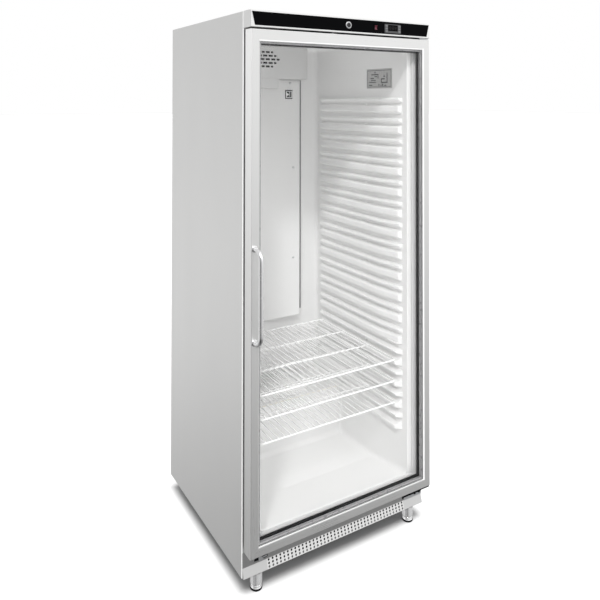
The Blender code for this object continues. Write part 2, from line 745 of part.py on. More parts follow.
# -------------------------------------------------------------------- the door
FRAME_BORDER, TOP_RAIL = 32.0, 40.0
PANE_HALF = DOOR_HALF - FRAME_BORDER - GAP
PANE_Z = (DOOR_Z0 + FRAME_BORDER + GAP, DOOR_Z1 - TOP_RAIL - GAP)
OUTER_PANE_Y, INNER_PANE_Y = (-52.0, -48.0), (-36.0, -32.0)

frame = frame_ring(
    DOOR_HALF, (DOOR_FRONT, DOOR_BACK), (DOOR_Z0, DOOR_Z1), FRAME_BORDER, TOP_RAIL
)
cut(
    frame,
    bar_z((1805, 1840), PIN_AT, BORE_R),
    bar_z((140, 170), PIN_AT, BORE_R),
    box(about(BOLT_X, 7), BOLT_SLOT_Y, (1812, 1840)),
)
finish(frame, "door_frame", INOX, pivot=DOOR_PIVOT)

for name, pane_y in (("glass_outer", OUTER_PANE_Y), ("glass_inner", INNER_PANE_Y)):
    finish(box(about(0, PANE_HALF), pane_y, PANE_Z), name, GLASS, pivot=DOOR_PIVOT)
spacer = frame_ring(PANE_HALF, (OUTER_PANE_Y[1] + GAP, INNER_PANE_Y[0] - GAP), PANE_Z, 6)
finish(spacer, "glazing_spacer", ALUMINIUM, pivot=DOOR_PIVOT)
seal = frame_ring(PANE_HALF, (INNER_PANE_Y[1] + GAP, -22.0), PANE_Z, 11)
finish(seal, "glazing_seal", RUBBER, pivot=DOOR_PIVOT)
gasket = frame_ring(356, (DOOR_BACK + GAP, -0.6), (160, 1814), 22)
finish(gasket, "door_gasket", GASKET, pivot=DOOR_PIVOT)

# Bow handle on the left: two straight ends joined by quarter bends to the grip
HANDLE_X, HANDLE_Z0, HANDLE_Z1, HANDLE_R = -370.0, 829.0, 1127.0, 8.0
BEND_R, BEND_STEPS = 30, 6
BEND_Y = DOOR_FRONT - 15  # where the bends begin
bend_angles = [math.radians(90 * i / BEND_STEPS) for i in range(BEND_STEPS + 1)]
handle_path = [(DOOR_FRONT - GAP, HANDLE_Z0)]  # y, z
for a in bend_angles:
    z = HANDLE_Z0 + BEND_R - BEND_R * math.cos(a)
    handle_path.append((BEND_Y - BEND_R * math.sin(a), z))
for a in bend_angles:
    z = HANDLE_Z1 - BEND_R + BEND_R * math.sin(a)
    handle_path.append((BEND_Y - BEND_R * math.cos(a), z))
handle_path.append((DOOR_FRONT - GAP, HANDLE_Z1))
handle = tube([(HANDLE_X, y, z) for y, z in handle_path], HANDLE_R, sides=10)
finish(handle, "door_handle", CHROME, smooth=True, pivot=DOOR_PIVOT)

keeper = box(about(BOLT_X, 13), (-45, -18), (DOOR_Z1 + GAP, DOOR_Z1 + GAP + 1))
cut(keeper, box(about(BOLT_X, 6.5), inset(BOLT_SLOT_Y, 0.5), (DOOR_Z1 - 3, DOOR_Z1 + 5)))
finish(keeper, "lock_keeper", STEEL, pivot=DOOR_PIVOT)

washer = bar_z((LOW_ARM_Z[1] + GAP, DOOR_Z0 - GAP), PIN_AT, 9.0)
cut(washer, bar_z((130, 150), PIN_AT, BORE_R))
finish(washer, "hinge_washer", ABS, smooth=True, pivot=DOOR_PIVOT)

# ------------------------------------------------------------------- shelves
SHELF_HALF, SHELF_Y = 298.5, (38.0, 552.0)
SHELF_BAR = 6  # width and height of the rim
SHELF_WIRES, WIRE_PITCH, WIRE_HALF = 23, 25.0, 1.7
SHELF_LEVELS = {"shelf_lower": 14, "shelf_middle": 13, "shelf_upper": 12}  # from the top

for name, level in SHELF_LEVELS.items():
    z0 = RIB_TOP_Z - RIB_PITCH / 2 - RIB_PITCH * level + GAP
    shelf = box(about(0, SHELF_HALF), SHELF_Y, (z0, z0 + SHELF_BAR))
    hole_z = (z0 - 5, z0 + 10)
    cut(shelf, box(about(0, SHELF_HALF - SHELF_BAR), inset(SHELF_Y, SHELF_BAR), hole_z))
    for share in (1 / 3, 2 / 3):
        y = SHELF_Y[0] + (SHELF_Y[1] - SHELF_Y[0]) * share
        unite(shelf, box(about(0, SHELF_HALF - 3), about(y, 2.5), (z0 + 0.5, z0 + 5.5)))
    wires = [
        box(about(x, WIRE_HALF), inset(SHELF_Y, 2), (z0 + 4.8, z0 + 8.2))
        for x in centred_row(SHELF_WIRES, WIRE_PITCH)
    ]
    unite(shelf, joined(wires))
    finish(shelf, name, WIRE, pivot=(0, SHELF_Y[0], z0))

bpy.context.view_layer.update()
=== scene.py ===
"""Looks of the proofing cabinet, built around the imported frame.

Lengths in the helpers are millimetres with depth counted back from the front
plane of the body, as on a drawing; everything in Blender is metres, +Z up.
"""

import json
import math

import bmesh
import bpy
from mathutils import Matrix, Vector

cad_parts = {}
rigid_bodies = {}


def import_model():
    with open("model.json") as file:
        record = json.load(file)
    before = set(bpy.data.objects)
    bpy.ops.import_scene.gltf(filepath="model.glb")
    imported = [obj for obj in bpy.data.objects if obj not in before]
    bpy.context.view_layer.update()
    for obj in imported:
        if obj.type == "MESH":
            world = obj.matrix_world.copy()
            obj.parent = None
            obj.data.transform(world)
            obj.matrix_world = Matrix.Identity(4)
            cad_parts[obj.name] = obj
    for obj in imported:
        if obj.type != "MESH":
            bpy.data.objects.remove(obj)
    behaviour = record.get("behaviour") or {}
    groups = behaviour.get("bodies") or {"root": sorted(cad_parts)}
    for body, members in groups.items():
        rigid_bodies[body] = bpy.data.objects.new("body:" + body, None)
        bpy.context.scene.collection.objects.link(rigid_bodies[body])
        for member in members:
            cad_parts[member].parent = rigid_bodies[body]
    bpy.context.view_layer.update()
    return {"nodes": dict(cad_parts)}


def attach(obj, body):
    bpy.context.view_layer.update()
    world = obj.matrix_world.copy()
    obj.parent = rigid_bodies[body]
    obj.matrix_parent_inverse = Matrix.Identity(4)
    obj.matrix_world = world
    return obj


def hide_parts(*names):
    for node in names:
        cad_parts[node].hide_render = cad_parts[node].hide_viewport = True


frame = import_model()
NODES = frame["nodes"]
FRONT = -280.0  # where depth 0 lies along Y, mm


# ============================================================ node helpers
class Shader:
    """A Principled material built from nodes, with short helpers."""

    def __init__(self, name, colour, rough, metal=0.0, **extra):
        self.mat = bpy.data.materials.new(name)
        self.mat.use_nodes = True
        self.tree = self.mat.node_tree
        self.bsdf = self.tree.nodes["Principled BSDF"]
        self.out = self.tree.nodes["Material Output"]
        self.colour, self.rough = colour, rough
        self.set("Base Color", (*colour, 1.0))
        self.set("Roughness", rough)
        self.set("Metallic", metal)
        for key, value in extra.items():
            self.set(key.replace("_", " "), value)
        self.coord = self.node("ShaderNodeTexCoord").outputs["Object"]

    def set(self, key, value):
        self.bsdf.inputs[key].default_value = value

    def node(self, kind, **props):
        made = self.tree.nodes.new(kind)
        for key, value in props.items():
            setattr(made, key, value)
        return made

    def link(self, a, b):
        self.tree.links.new(a, b)

    def value(self, node, key, value):
        node.inputs[key].default_value = value
        return node

    def scaled(self, scale, rotate=(0, 0, 0)):
        m = self.node("ShaderNodeMapping")
        m.inputs["Scale"].default_value = scale
        m.inputs["Rotation"].default_value = rotate
        self.link(self.coord, m.inputs["Vector"])
        return m.outputs["Vector"]

    def noise(self, scale, detail=3.0, rough=0.55, vector=None, distortion=0.0):
        n = self.node("ShaderNodeTexNoise")
        n.inputs["Scale"].default_value = scale
        n.inputs["Detail"].default_value = detail
        n.inputs["Roughness"].default_value = rough
        n.inputs["Distortion"].default_value = distortion
        self.link(vector or self.coord, n.inputs["Vector"])
        return n.outputs["Fac"]

    def ramp(self, fac, low, high, start=0.3, end=0.7):
        r = self.node("ShaderNodeMapRange")
        for key, value in (("From Min", start), ("From Max", end), ("To Min", low), ("To Max", high)):
            r.inputs[key].default_value = value
        self.link(fac, r.inputs["Value"])
        return r.outputs["Result"]

    def math(self, op, a, b=None, clamp=False):
        n = self.node("ShaderNodeMath", operation=op, use_clamp=clamp)
        for i, v in enumerate((a, b)):
            if v is None:
                continue
            if isinstance(v, (int, float)):
                n.inputs[i].default_value = v
            else:
                self.link(v, n.inputs[i])
        return n.outputs[0]

    def mix(self, fac, a, b):
        """Colour mix; a and b are rgb triples or sockets."""
        n = self.node("ShaderNodeMix", data_type="RGBA")
        if isinstance(fac, (int, float)):
            n.inputs[0].default_value = fac
        else:
            self.link(fac, n.inputs[0])
        for i, v in ((6, a), (7, b)):
            if isinstance(v, tuple):
                n.inputs[i].default_value = (*v, 1.0)
            else:
                self.link(v, n.inputs[i])
        return n.outputs[2]

    def bump(self, height, strength, distance, normal=None):
        b = self.node("ShaderNodeBump")
        b.inputs["Strength"].default_value = strength
        b.inputs["Distance"].default_value = distance
        self.link(height, b.inputs["Height"])
        if normal is not None:
            self.link(normal, b.inputs["Normal"])
        return b.outputs["Normal"]

    def wire(self, key, socket):
        self.link(socket, self.bsdf.inputs[key])


def tint(colour, k):
    return tuple(min(1.0, c * k) for c in colour)


def brushed(name, colour, rough, grain=(900, 900, 9), metal=0.9, depth=0.00002, spread=0.06):
    """Satin sheet steel: a fine drawn grain, cloudy sheen and a few soft smears."""
    s = Shader(name, colour, rough, metal)
    lines = s.noise(1.0, 3.0, 0.6, s.scaled(grain))
    cloud = s.noise(2.3, 4.0, 0.6)
    smear = s.noise(1.0, 2.0, 0.5, s.scaled((5.0, 5.0, 1.3)))
    c = s.mix(s.ramp(lines, 0.0, 1.0), tint(colour, 1 - spread * 0.5), tint(colour, 1 + spread * 0.5))
    c = s.mix(s.ramp(cloud, 0.0, 0.35), c, tint(colour, 0.965))
    s.wire("Base Color", c)
    r = s.math("ADD", s.ramp(lines, rough - spread, rough + spread), s.ramp(smear, -0.025, 0.03))
    s.wire("Roughness", r)
    s.wire("Normal", s.bump(lines, 0.25, depth))
    return s


def moulded(name, colour, rough, grain=700.0, depth=0.00004, metal=0.0, cloud=0.02, **extra):
    """Moulded plastic: a fine even skin with very slight flow marks."""
    s = Shader(name, colour, rough, metal, **extra)
    skin = s.noise(grain, 2.0, 0.5)
    flow = s.noise(3.0, 3.0, 0.5)
    s.wire("Base Color", s.mix(s.ramp(flow, 0.0, 1.0), tint(colour, 1 - cloud), tint(colour, 1 + cloud)))
    s.wire("Roughness", s.math("ADD", s.ramp(skin, rough - 0.03, rough + 0.03), s.ramp(flow, -0.03, 0.03)))
    wave = s.math("ADD", s.math("MULTIPLY", skin, 0.6), s.math("MULTIPLY", flow, 2.0))
    s.wire("Normal", s.bump(wave, 0.3, depth))
    return s


def polished(name, colour, rough, metal=1.0):
    """Bright plating with faint polishing haze."""
    s = Shader(name, colour, rough, metal)
    haze = s.noise(40.0, 3.0, 0.6)
    rub = s.noise(1.0, 2.0, 0.5, s.scaled((300, 300, 1500)))
    s.wire("Base Color", s.mix(s.ramp(haze, 0.0, 1.0), tint(colour, 0.97), tint(colour, 1.0)))
    s.wire("Roughness", s.math("ADD", s.ramp(haze, rough * 0.7, rough * 1.4), s.ramp(rub, 0.0, 0.03)))
    s.wire("Normal", s.bump(rub, 0.06, 0.00001))
    return s


# =============================================================== materials
INOX = brushed("satin_steel", (0.60, 0.60, 0.595), 0.36).mat
INOX_DOOR = brushed("satin_steel_door", (0.60, 0.60, 0.595), 0.33, grain=(900, 900, 9)).mat
GALV_S = Shader("galvanised_sheet", (0.55, 0.56, 0.57), 0.45, 0.9)


def build_galv(s):
    cells = s.node("ShaderNodeTexVoronoi", feature="F1")
    cells.inputs["Scale"].default_value = 85.0
    s.link(s.scaled((1, 1, 1)), cells.inputs["Vector"])
    grey = s.node("ShaderNodeSeparateColor")
    s.link(cells.outputs["Color"], grey.inputs[0])
    s.wire("Base Color", s.mix(grey.outputs[0], (0.50, 0.51, 0.52), (0.58, 0.59, 0.60)))
    s.wire("Roughness", s.ramp(grey.outputs[1], 0.38, 0.55, 0.0, 1.0))
    s.wire("Normal", s.bump(s.noise(400.0), 0.15, 0.00003))
    return s.mat


GALV = build_galv(GALV_S)
FOAM = moulded("polyurethane_foam", (0.78, 0.69, 0.45), 0.95, grain=180.0, depth=0.0012, cloud=0.08).mat
ABS = moulded("white_abs", (0.80, 0.80, 0.795), 0.36, grain=900.0, depth=0.00002).mat
SHROUD = moulded("white_shroud_plastic", (0.60, 0.60, 0.596), 0.42, grain=800.0, depth=0.00003).mat
DUCT = moulded("white_duct_plastic", (0.70, 0.70, 0.695), 0.42, grain=800.0, depth=0.00003).mat
FASCIA = moulded("black_fascia", (0.002, 0.002, 0.0023), 0.25, grain=1200.0, depth=0.00001, cloud=0.1).mat
FASCIA.node_tree.nodes["Principled BSDF"].inputs["Specular IOR Level"].default_value = 0.012
RUBBER = moulded("black_rubber", (0.012, 0.012, 0.013), 0.62, grain=900.0, depth=0.00006, cloud=0.1).mat
CHROME = polished("chrome", (0.80, 0.80, 0.81), 0.07).mat
HANDLE = polished("satin_chrome", (0.74, 0.74, 0.745), 0.22).mat
STEEL = brushed("zinc_steel", (0.56, 0.57, 0.58), 0.33, grain=(500, 60, 500), metal=1.0).mat
ALU = brushed("aluminium", (0.66, 0.67, 0.68), 0.28, grain=(30, 500, 500), metal=1.0).mat
GREY = moulded("grey_plastic", (0.040, 0.040, 0.042), 0.5, grain=900.0).mat
KEY = moulded("light_grey_key", (0.12, 0.121, 0.124), 0.45, grain=900.0).mat
RED = moulded("red_rocker", (0.075, 0.004, 0.014), 0.35, grain=900.0, depth=0.00001, cloud=0.05).mat
GASKET = moulded("grey_gasket", (0.72, 0.72, 0.72), 0.55, grain=600.0, depth=0.00006).mat
WIRE = moulded("white_coated_wire", (0.88, 0.88, 0.875), 0.24, grain=350.0, depth=0.00005).mat
LABEL = moulded("grey_label", (0.42, 0.42, 0.415), 0.45, grain=600.0, depth=0.00001).mat
INK = moulded("label_ink", (0.05, 0.05, 0.052), 0.5, grain=600.0, depth=0.00001).mat
DARK = moulded("dark_enamel", (0.022, 0.022, 0.025), 0.38, grain=250.0, depth=0.00005, cloud=0.1).mat
MATTE = moulded("matte_black", (0.006, 0.006, 0.007), 0.85, grain=500.0, depth=0.00005, cloud=0.1).mat
MATTE.node_tree.nodes["Principled BSDF"].inputs["Specular IOR Level"].default_value = 0.1
INOX_RAIL = brushed("satin_steel_rail", (0.60, 0.60, 0.595), 0.33, grain=(9, 900, 900)).mat
INOX_KICK = brushed("satin_steel_kick", (0.58, 0.58, 0.575), 0.36, grain=(9, 900, 900), metal=0.6).mat
INOX_HEAD = brushed("satin_steel_head", (0.66, 0.66, 0.655), 0.34, grain=(9, 900, 900)).mat
CHROME_LEG = polished("chrome_leg", (0.95, 0.95, 0.955), 0.09, metal=0.8).mat
COPPER = polished("copper_pipe", (0.72, 0.36, 0.22), 0.30).mat
SEGMENT = moulded("unlit_segment", (0.006, 0.003, 0.003), 0.35, grain=1200.0, depth=0.00001).mat
SPACER = brushed("spacer_bar", (0.32, 0.32, 0.325), 0.42, grain=(60, 90, 60), metal=0.5, spread=0.25).mat
# lighter, less metallic copy of the satin steel: a painted highlight on the casing's front hem and the door's inner
# edges
INOX_EDGE_HIGHLIGHT = brushed("satin_steel_edge_painted_highlight", (0.84, 0.84, 0.835), 0.40, grain=(900, 900, 9), metal=0.35).mat


def build_shaded_flank():
    """Turned edge of the door: satin steel with painted shade, darker towards the foot and lighter towards the head.
    """
    s = brushed("satin_steel_flank_painted_shade", (0.5, 0.5, 0.497), 0.40, grain=(900, 900, 9), metal=0.35)
    split = s.node("ShaderNodeSeparateXYZ")
    s.link(s.node("ShaderNodeNewGeometry").outputs["Position"], split.inputs[0])
    # painted shade: the base colour runs from dark at the foot to light at the head
    rise = s.ramp(split.outputs["Z"], 0.0, 1.0, 0.1, 1.8)
    lines = s.noise(1.0, 3.0, 0.6, s.scaled((900, 900, 9)))
    shaded_tone = s.mix(rise, (0.30, 0.30, 0.298), (0.66, 0.66, 0.655))
    s.wire("Base Color", s.mix(s.ramp(lines, 0.0, 0.10), shaded_tone, (0.5, 0.5, 0.497)))
    return s.mat


INOX_FLANK_SHADED = build_shaded_flank()
# dark grey for the strips beside the duct: a painted shadow gap
DUCT_EDGE_SHADOW_GREY = moulded("grey_trim", (0.15, 0.15, 0.153), 0.5, grain=900.0).mat
# darker copies of the kick steel: painted shade on the panel's ends and on the upright part under the door
INOX_KICK_END_SHADED = brushed("satin_steel_kick_end_painted_shade", (0.50, 0.50, 0.497), 0.36, grain=(9, 900, 900), metal=0.8).mat
INOX_KICK_TOP_SHADED = brushed("satin_steel_kick_top_painted_shade", (0.35, 0.35, 0.348), 0.36, grain=(9, 900, 900)).mat
PLUG = polished("lock_face", (0.05, 0.05, 0.052), 0.25).mat
RING = polished("lock_ring", (0.45, 0.45, 0.455), 0.18).mat


def build_glass():
    """Float glass that lets lamp light straight through, with a Fresnel sheen."""
    mat = bpy.data.materials.new("glass")
    mat.use_nodes = True
    t = mat.node_tree
    for n in list(t.nodes):
        t.nodes.remove(n)
    out = t.nodes.new("ShaderNodeOutputMaterial")
    clear = t.nodes.new("ShaderNodeBsdfTransparent")
    clear.inputs["Color"].default_value = (0.993, 0.993, 0.993, 1)
    shine = t.nodes.new("ShaderNodeBsdfGlossy")
    shine.inputs["Roughness"].default_value = 0.02
    shine.inputs["Color"].default_value = (1, 1, 1, 1)
    edge = t.nodes.new("ShaderNodeLayerWeight")
    edge.inputs["Blend"].default_value = 0.5
    power = t.nodes.new("ShaderNodeMath")
    power.operation = "POWER"
    power.inputs[1].default_value = 5.0
    t.links.new(edge.outputs["Facing"], power.inputs[0])
    fres = t.nodes.new("ShaderNodeMapRange")
    fres.inputs["To Min"].default_value = 0.012
    fres.inputs["To Max"].default_value = 0.7
    t.links.new(power.outputs[0], fres.inputs["Value"])
    mix = t.nodes.new("ShaderNodeMixShader")
    t.links.new(fres.outputs[0], mix.inputs[0])
    t.links.new(clear.outputs[0], mix.inputs[1])
    t.links.new(shine.outputs[0], mix.inputs[2])
    t.links.new(mix.outputs[0], out.inputs["Surface"])
    return mat


GLASS = build_glass()

FOR_NODE = {
    "outer_casing": INOX, "kick_panel": INOX, "control_housing": INOX, "door_frame": INOX_DOOR,
    "rear_panel": GALV, "base_tray": GALV, "machine_cover": GALV, "water_pan": GALV,
    "foam_insulation": FOAM, "inner_liner": ABS, "duct_knob": ABS, "probe_clip": ABS,
    "hinge_washer": ABS, "fan_shroud": DUCT, "duct_cover": DUCT, "fascia_plate": FASCIA,
    "controller_window": FASCIA, "glazing_seal": RUBBER, "lock_bezel": CHROME,
    "lock_barrel": CHROME, "door_handle": HANDLE, "spare_hinge_tab": STEEL,
    "hinge_bracket_top": STEEL, "hinge_bracket_bottom": STEEL, "lock_bolt": STEEL,
    "lock_keeper": STEEL, "heater_element": STEEL, "temperature_probe": STEEL,
    "glazing_spacer": ALU, "evaporator_coil": ALU, "condenser": ALU, "controller_body": GREY,
    "rocker_switch": RED, "glass_outer": GLASS, "glass_inner": GLASS, "door_gasket": GASKET,
    "label_plate": LABEL, "rocker_socket": DARK, "fan_motor": DARK, "fan_blades": DARK,
    "compressor": DARK, "shelf_upper": WIRE, "shelf_middle": WIRE, "shelf_lower": WIRE,
}
for name, node in NODES.items():
    look = FOR_NODE.get(name)
    if look is None:
        look = KEY if name.startswith("key_") else CHROME
    node.data.materials.clear()
    node.data.materials.append(look)


# ============================================================= mesh helpers
def at(x, y, z):
    return Vector((x * 0.001, (y + FRONT) * 0.001, z * 0.001))


def put(axis, u, v, w):
    """A point from two outline coordinates and one along the axis."""
    return {"x": (w, u, v), "y": (u, w, v), "z": (u, v, w)}[axis]


def circle(r, cu=0.0, cv=0.0, n=24, start=0.0):
    out = []
    for i in range(n):
        a = start + 2 * math.pi * i / n
        out.append((cu + r * math.cos(a), cv + r * math.sin(a)))
    return out


def rounded(u0, u1, v0, v1, r, seg=4):
    """Outline of a rectangle with round corners, anticlockwise."""
    if r <= 0:
        return [(u1, v0), (u1, v1), (u0, v1), (u0, v0)]
    out = []
    for cu, cv, a0 in ((u1 - r, v0 + r, -90), (u1 - r, v1 - r, 0), (u0 + r, v1 - r, 90), (u0 + r, v0 + r, 180)):
        for i in range(seg + 1):
            a = math.radians(a0 + 90 * i / seg)
            out.append((cu + r * math.cos(a), cv + r * math.sin(a)))
    return out


def inset(points, d):
    """Outline moved inwards by d; it runs anticlockwise."""
    if not d:
        return list(points)
    out = []
    n = len(points)
    for i in range(n):
        (x0, y0), (x1, y1), (x2, y2) = points[i - 1], points[i], points[(i + 1) % n]
        ax, ay, bx, by = x1 - x0, y1 - y0, x2 - x1, y2 - y1
        la, lb = math.hypot(ax, ay), math.hypot(bx, by)
        mx, my = -ay / la - by / lb, ax / la + bx / lb
        k = 2 * d / (mx * mx + my * my)
        out.append((x1 + mx * k, y1 + my * k))
    return out


def fillet(points, radii, seg=5):
    """Open path with its inner corners rounded."""
    out = [points[0]]
    for i in range(1, len(points) - 1):
        r = radii[i]
        p0, p1, p2 = Vector(points[i - 1]), Vector(points[i]), Vector(points[i + 1])
        a, b = (p0 - p1).normalized(), (p2 - p1).normalized()
        angle = a.angle(b)
        if r <= 0 or angle > math.radians(179):
            out.append(tuple(p1))
            continue
        reach = r / math.tan(angle / 2)
        centre = p1 + (a + b).normalized() * (r / math.sin(angle / 2))
        s, e = p1 + a * reach - centre, p1 + b * reach - centre
        turn = math.atan2(s.x * e.y - s.y * e.x, s.dot(e))
        for k in range(seg + 1):
            t = turn * k / seg
            out.append((centre.x + s.x * math.cos(t) - s.y * math.sin(t), centre.y + s.x * math.sin(t) + s.y * math.cos(t)))
    out.append(points[-1])
    return out


class Form:
    """Closed forms gathered into one piece; millimetres, depth from the front plane."""

    def __init__(self):
        self.v, self.f = [], []

    def loft(self, loops, wrap=False, caps=True):
        n, base, m = len(loops[0]), len(self.v), len(loops)
        for loop in loops:
            self.v += [tuple(p) for p in loop]
        for j in range(m if wrap else m - 1):
            a, b = base + j * n, base + ((j + 1) % m) * n
            for i in range(n):
                k = (i + 1) % n
                self.f.append((a + i, a + k, b + k, b + i))
        if caps and not wrap:
            self.f.append(tuple(range(base + n - 1, base - 1, -1)))
            self.f.append(tuple(range(base + (m - 1) * n, base + m * n)))
        return self

    def plate(self, outline, axis, a, b, r=0.0, seg=3, r2=None):
        """Slab from an outline, its rims rounded by r at a and r2 at b."""
        r2 = r if r2 is None else r2
        s = 1 if b > a else -1
        rings = []
        if r:
            for i in range(seg + 1):
                t = math.pi / 2 * i / seg
                rings.append((r * (1 - math.sin(t)), a + s * r * (1 - math.cos(t))))
        else:
            rings.append((0.0, a))
        if r2:
            for i in range(seg, -1, -1):
                t = math.pi / 2 * i / seg
                rings.append((r2 * (1 - math.sin(t)), b - s * r2 * (1 - math.cos(t))))
        else:
            rings.append((0.0, b))
        return self.loft([[put(axis, u, v, w) for u, v in inset(outline, d)] for d, w in rings])

    def block(self, x0, x1, y0, y1, z0, z1, r=0.6, axis="z", corner=None, seg=2):
        """Box rounded on every edge."""
        corner = r if corner is None else corner
        spans = {"x": ((y0, y1), (z0, z1), (x0, x1)), "y": ((x0, x1), (z0, z1), (y0, y1)), "z": ((x0, x1), (y0, y1), (z0, z1))}
        (u0, u1), (v0, v1), (w0, w1) = spans[axis]
        return self.plate(rounded(u0, u1, v0, v1, max(corner, r * 1.02), seg + 1), axis, w0, w1, r, seg)

    def lathe(self, profile, cu, cv, axis="z", n=32, wrap=False):
        """Turned form about a line along the axis; profile is (radius, place)."""
        return self.loft([[put(axis, u, v, w) for u, v in circle(r, cu, cv, n)] for r, w in profile], wrap)

    def tube(self, path, r, n=12, wrap=False, ends=True):
        """Round bar along a path, its ends a little domed."""
        pts = [Vector(p) for p in path]
        m = len(pts)
        tang = []
        for i in range(m):
            a = pts[i - 1] if (i or wrap) else pts[0]
            b = pts[(i + 1) % m] if (i < m - 1 or wrap) else pts[-1]
            tang.append((b - a).normalized())
        ref = Vector((0, 0, 1)) if abs(tang[0].z) < 0.9 else Vector((1, 0, 0))
        up = (ref - tang[0] * ref.dot(tang[0])).normalized()
        loops = []

        def ring(centre, t, u, radius):
            w = t.cross(u)
            return [tuple(centre + u * (radius * math.cos(2 * math.pi * k / n)) + w * (radius * math.sin(2 * math.pi * k / n))) for k in range(n)]

        for i in range(m):
            up = (up - tang[i] * up.dot(tang[i])).normalized()
            if i == 0 and not wrap and ends:
                loops.append(ring(pts[0] - tang[0] * (r * 0.45), tang[0], up, r * 0.6))
                loops.append(ring(pts[0] - tang[0] * (r * 0.2), tang[0], up, r * 0.9))
            loops.append(ring(pts[i], tang[i], up, r))
            if i == m - 1 and not wrap and ends:
                loops.append(ring(pts[i] + tang[i] * (r * 0.2), tang[i], up, r * 0.9))
                loops.append(ring(pts[i] + tang[i] * (r * 0.45), tang[i], up, r * 0.6))
        return self.loft(loops, wrap)

    def surround(self, outer, inner, section):
        """Mitred frame; section points are (edge, distance into the material, y)."""
        ox0, ox1, oz0, oz1 = outer
        ix0, ix1, iz0, iz1 = inner
        loops = []
        for sx, sz in ((0, 0), (1, 0), (1, 1), (0, 1)):
            loop = []
            for edge, d, y in section:
                if edge == "o":
                    x, z = (ox1 - d if sx else ox0 + d), (oz1 - d if sz else oz0 + d)
                else:
                    x, z = (ix1 + d if sx else ix0 - d), (iz1 + d if sz else iz0 - d)
                loop.append((x, y, z))
            loops.append(loop)
        return self.loft(loops, wrap=True)

    def pierced(self, us, vs, holes, front, back):
        """Sheet laid on a grid of cells, with an outline cut through some of them."""
        nu, nv = len(us), len(vs)
        base = len(self.v)
        for side in (front, back):
            for v in vs:
                for u in us:
                    self.v.append(side(u, v))
        layer = nu * nv

        def node(k, i, j):
            return base + k * layer + j * nu + i

        for j in range(nv - 1):
            for i in range(nu - 1):
                corners = ((i, j), (i + 1, j), (i + 1, j + 1), (i, j + 1))
                hole = holes.get((i, j))
                if not hole:
                    for k in (0, 1):
                        self.f.append(tuple(node(k, a, b) for a, b in corners))
                    continue
                n = len(hole)
                first = len(self.v)
                for side in (front, back):
                    for u, v in hole:
                        self.v.append(side(u, v))
                near = []
                for a, b in corners:
                    near.append(min(range(n), key=lambda q: (hole[q][0] - us[a]) ** 2 + (hole[q][1] - vs[b]) ** 2))
                for c in range(4):
                    s, e = near[c], near[(c + 1) % 4]
                    run = [s]
                    while run[-1] != e:
                        run.append((run[-1] + 1) % n)
                    for k in (0, 1):
                        face = [node(k, *corners[c]), node(k, *corners[(c + 1) % 4])]
                        face += [first + k * n + q for q in reversed(run)]
                        self.f.append(tuple(face))
                for q in range(n):
                    p = (q + 1) % n
                    self.f.append((first + q, first + p, first + n + p, first + n + q))
        rim = [(i, 0) for i in range(nu - 1)] + [(nu - 1, j) for j in range(nv - 1)]
        rim += [(i, nv - 1) for i in range(nu - 1, 0, -1)] + [(0, j) for j in range(nv - 1, 0, -1)]
        for q in range(len(rim)):
            a, b = rim[q], rim[(q + 1) % len(rim)]
            self.f.append((node(0, *a), node(0, *b), node(1, *b), node(1, *a)))
        return self


def carve(obj, cutters):
    """Takes each cutter form out of the object's mesh."""
    for form in cutters:
        tool = solid("cutter", form)
        mod = obj.modifiers.new("cut", "BOOLEAN")
        mod.operation, mod.solver, mod.object = "DIFFERENCE", "EXACT", tool
        mod.use_self = True
        bpy.context.view_layer.update()
        result = bpy.data.meshes.new_from_object(obj.evaluated_get(bpy.context.evaluated_depsgraph_get()))
        obj.modifiers.remove(mod)
        obj.data = result
        bpy.data.objects.remove(tool)
    return obj


def solid(name, form):
    mesh = bpy.data.meshes.new(name)
    mesh.from_pydata([at(*p) for p in form.v], [], form.f)
    bm = bmesh.new()
    bm.from_mesh(mesh)
    bmesh.ops.recalc_face_normals(bm, faces=bm.faces)
    bm.to_mesh(mesh)
    bm.free()
    obj = bpy.data.objects.new(name, mesh)
    bpy.context.scene.collection.objects.link(obj)
    return obj


def piece(name, form, body, look, nodes=(), cuts=(), smooth=40.0, looks=None, choose=None):
    """Makes a visible piece: its mesh, finish, the body it rides on and the nodes it stands for."""
    obj = solid(name, form)
    if cuts:
        carve(obj, cuts)
    obj.data.materials.clear()
    obj.data.materials.append(look)
    for extra in looks or ():
        obj.data.materials.append(extra)
    for poly in obj.data.polygons:
        poly.material_index = choose(poly.center, poly.normal) if choose else 0
    obj.data.shade_smooth()
    obj.data.set_sharp_from_angle(angle=math.radians(smooth))
    even = obj.modifiers.new("even", "WEIGHTED_NORMAL")
    even.mode, even.weight, even.keep_sharp = "FACE_AREA", 80, True
    if nodes:
        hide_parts(*nodes)
    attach(obj, body)
    return obj


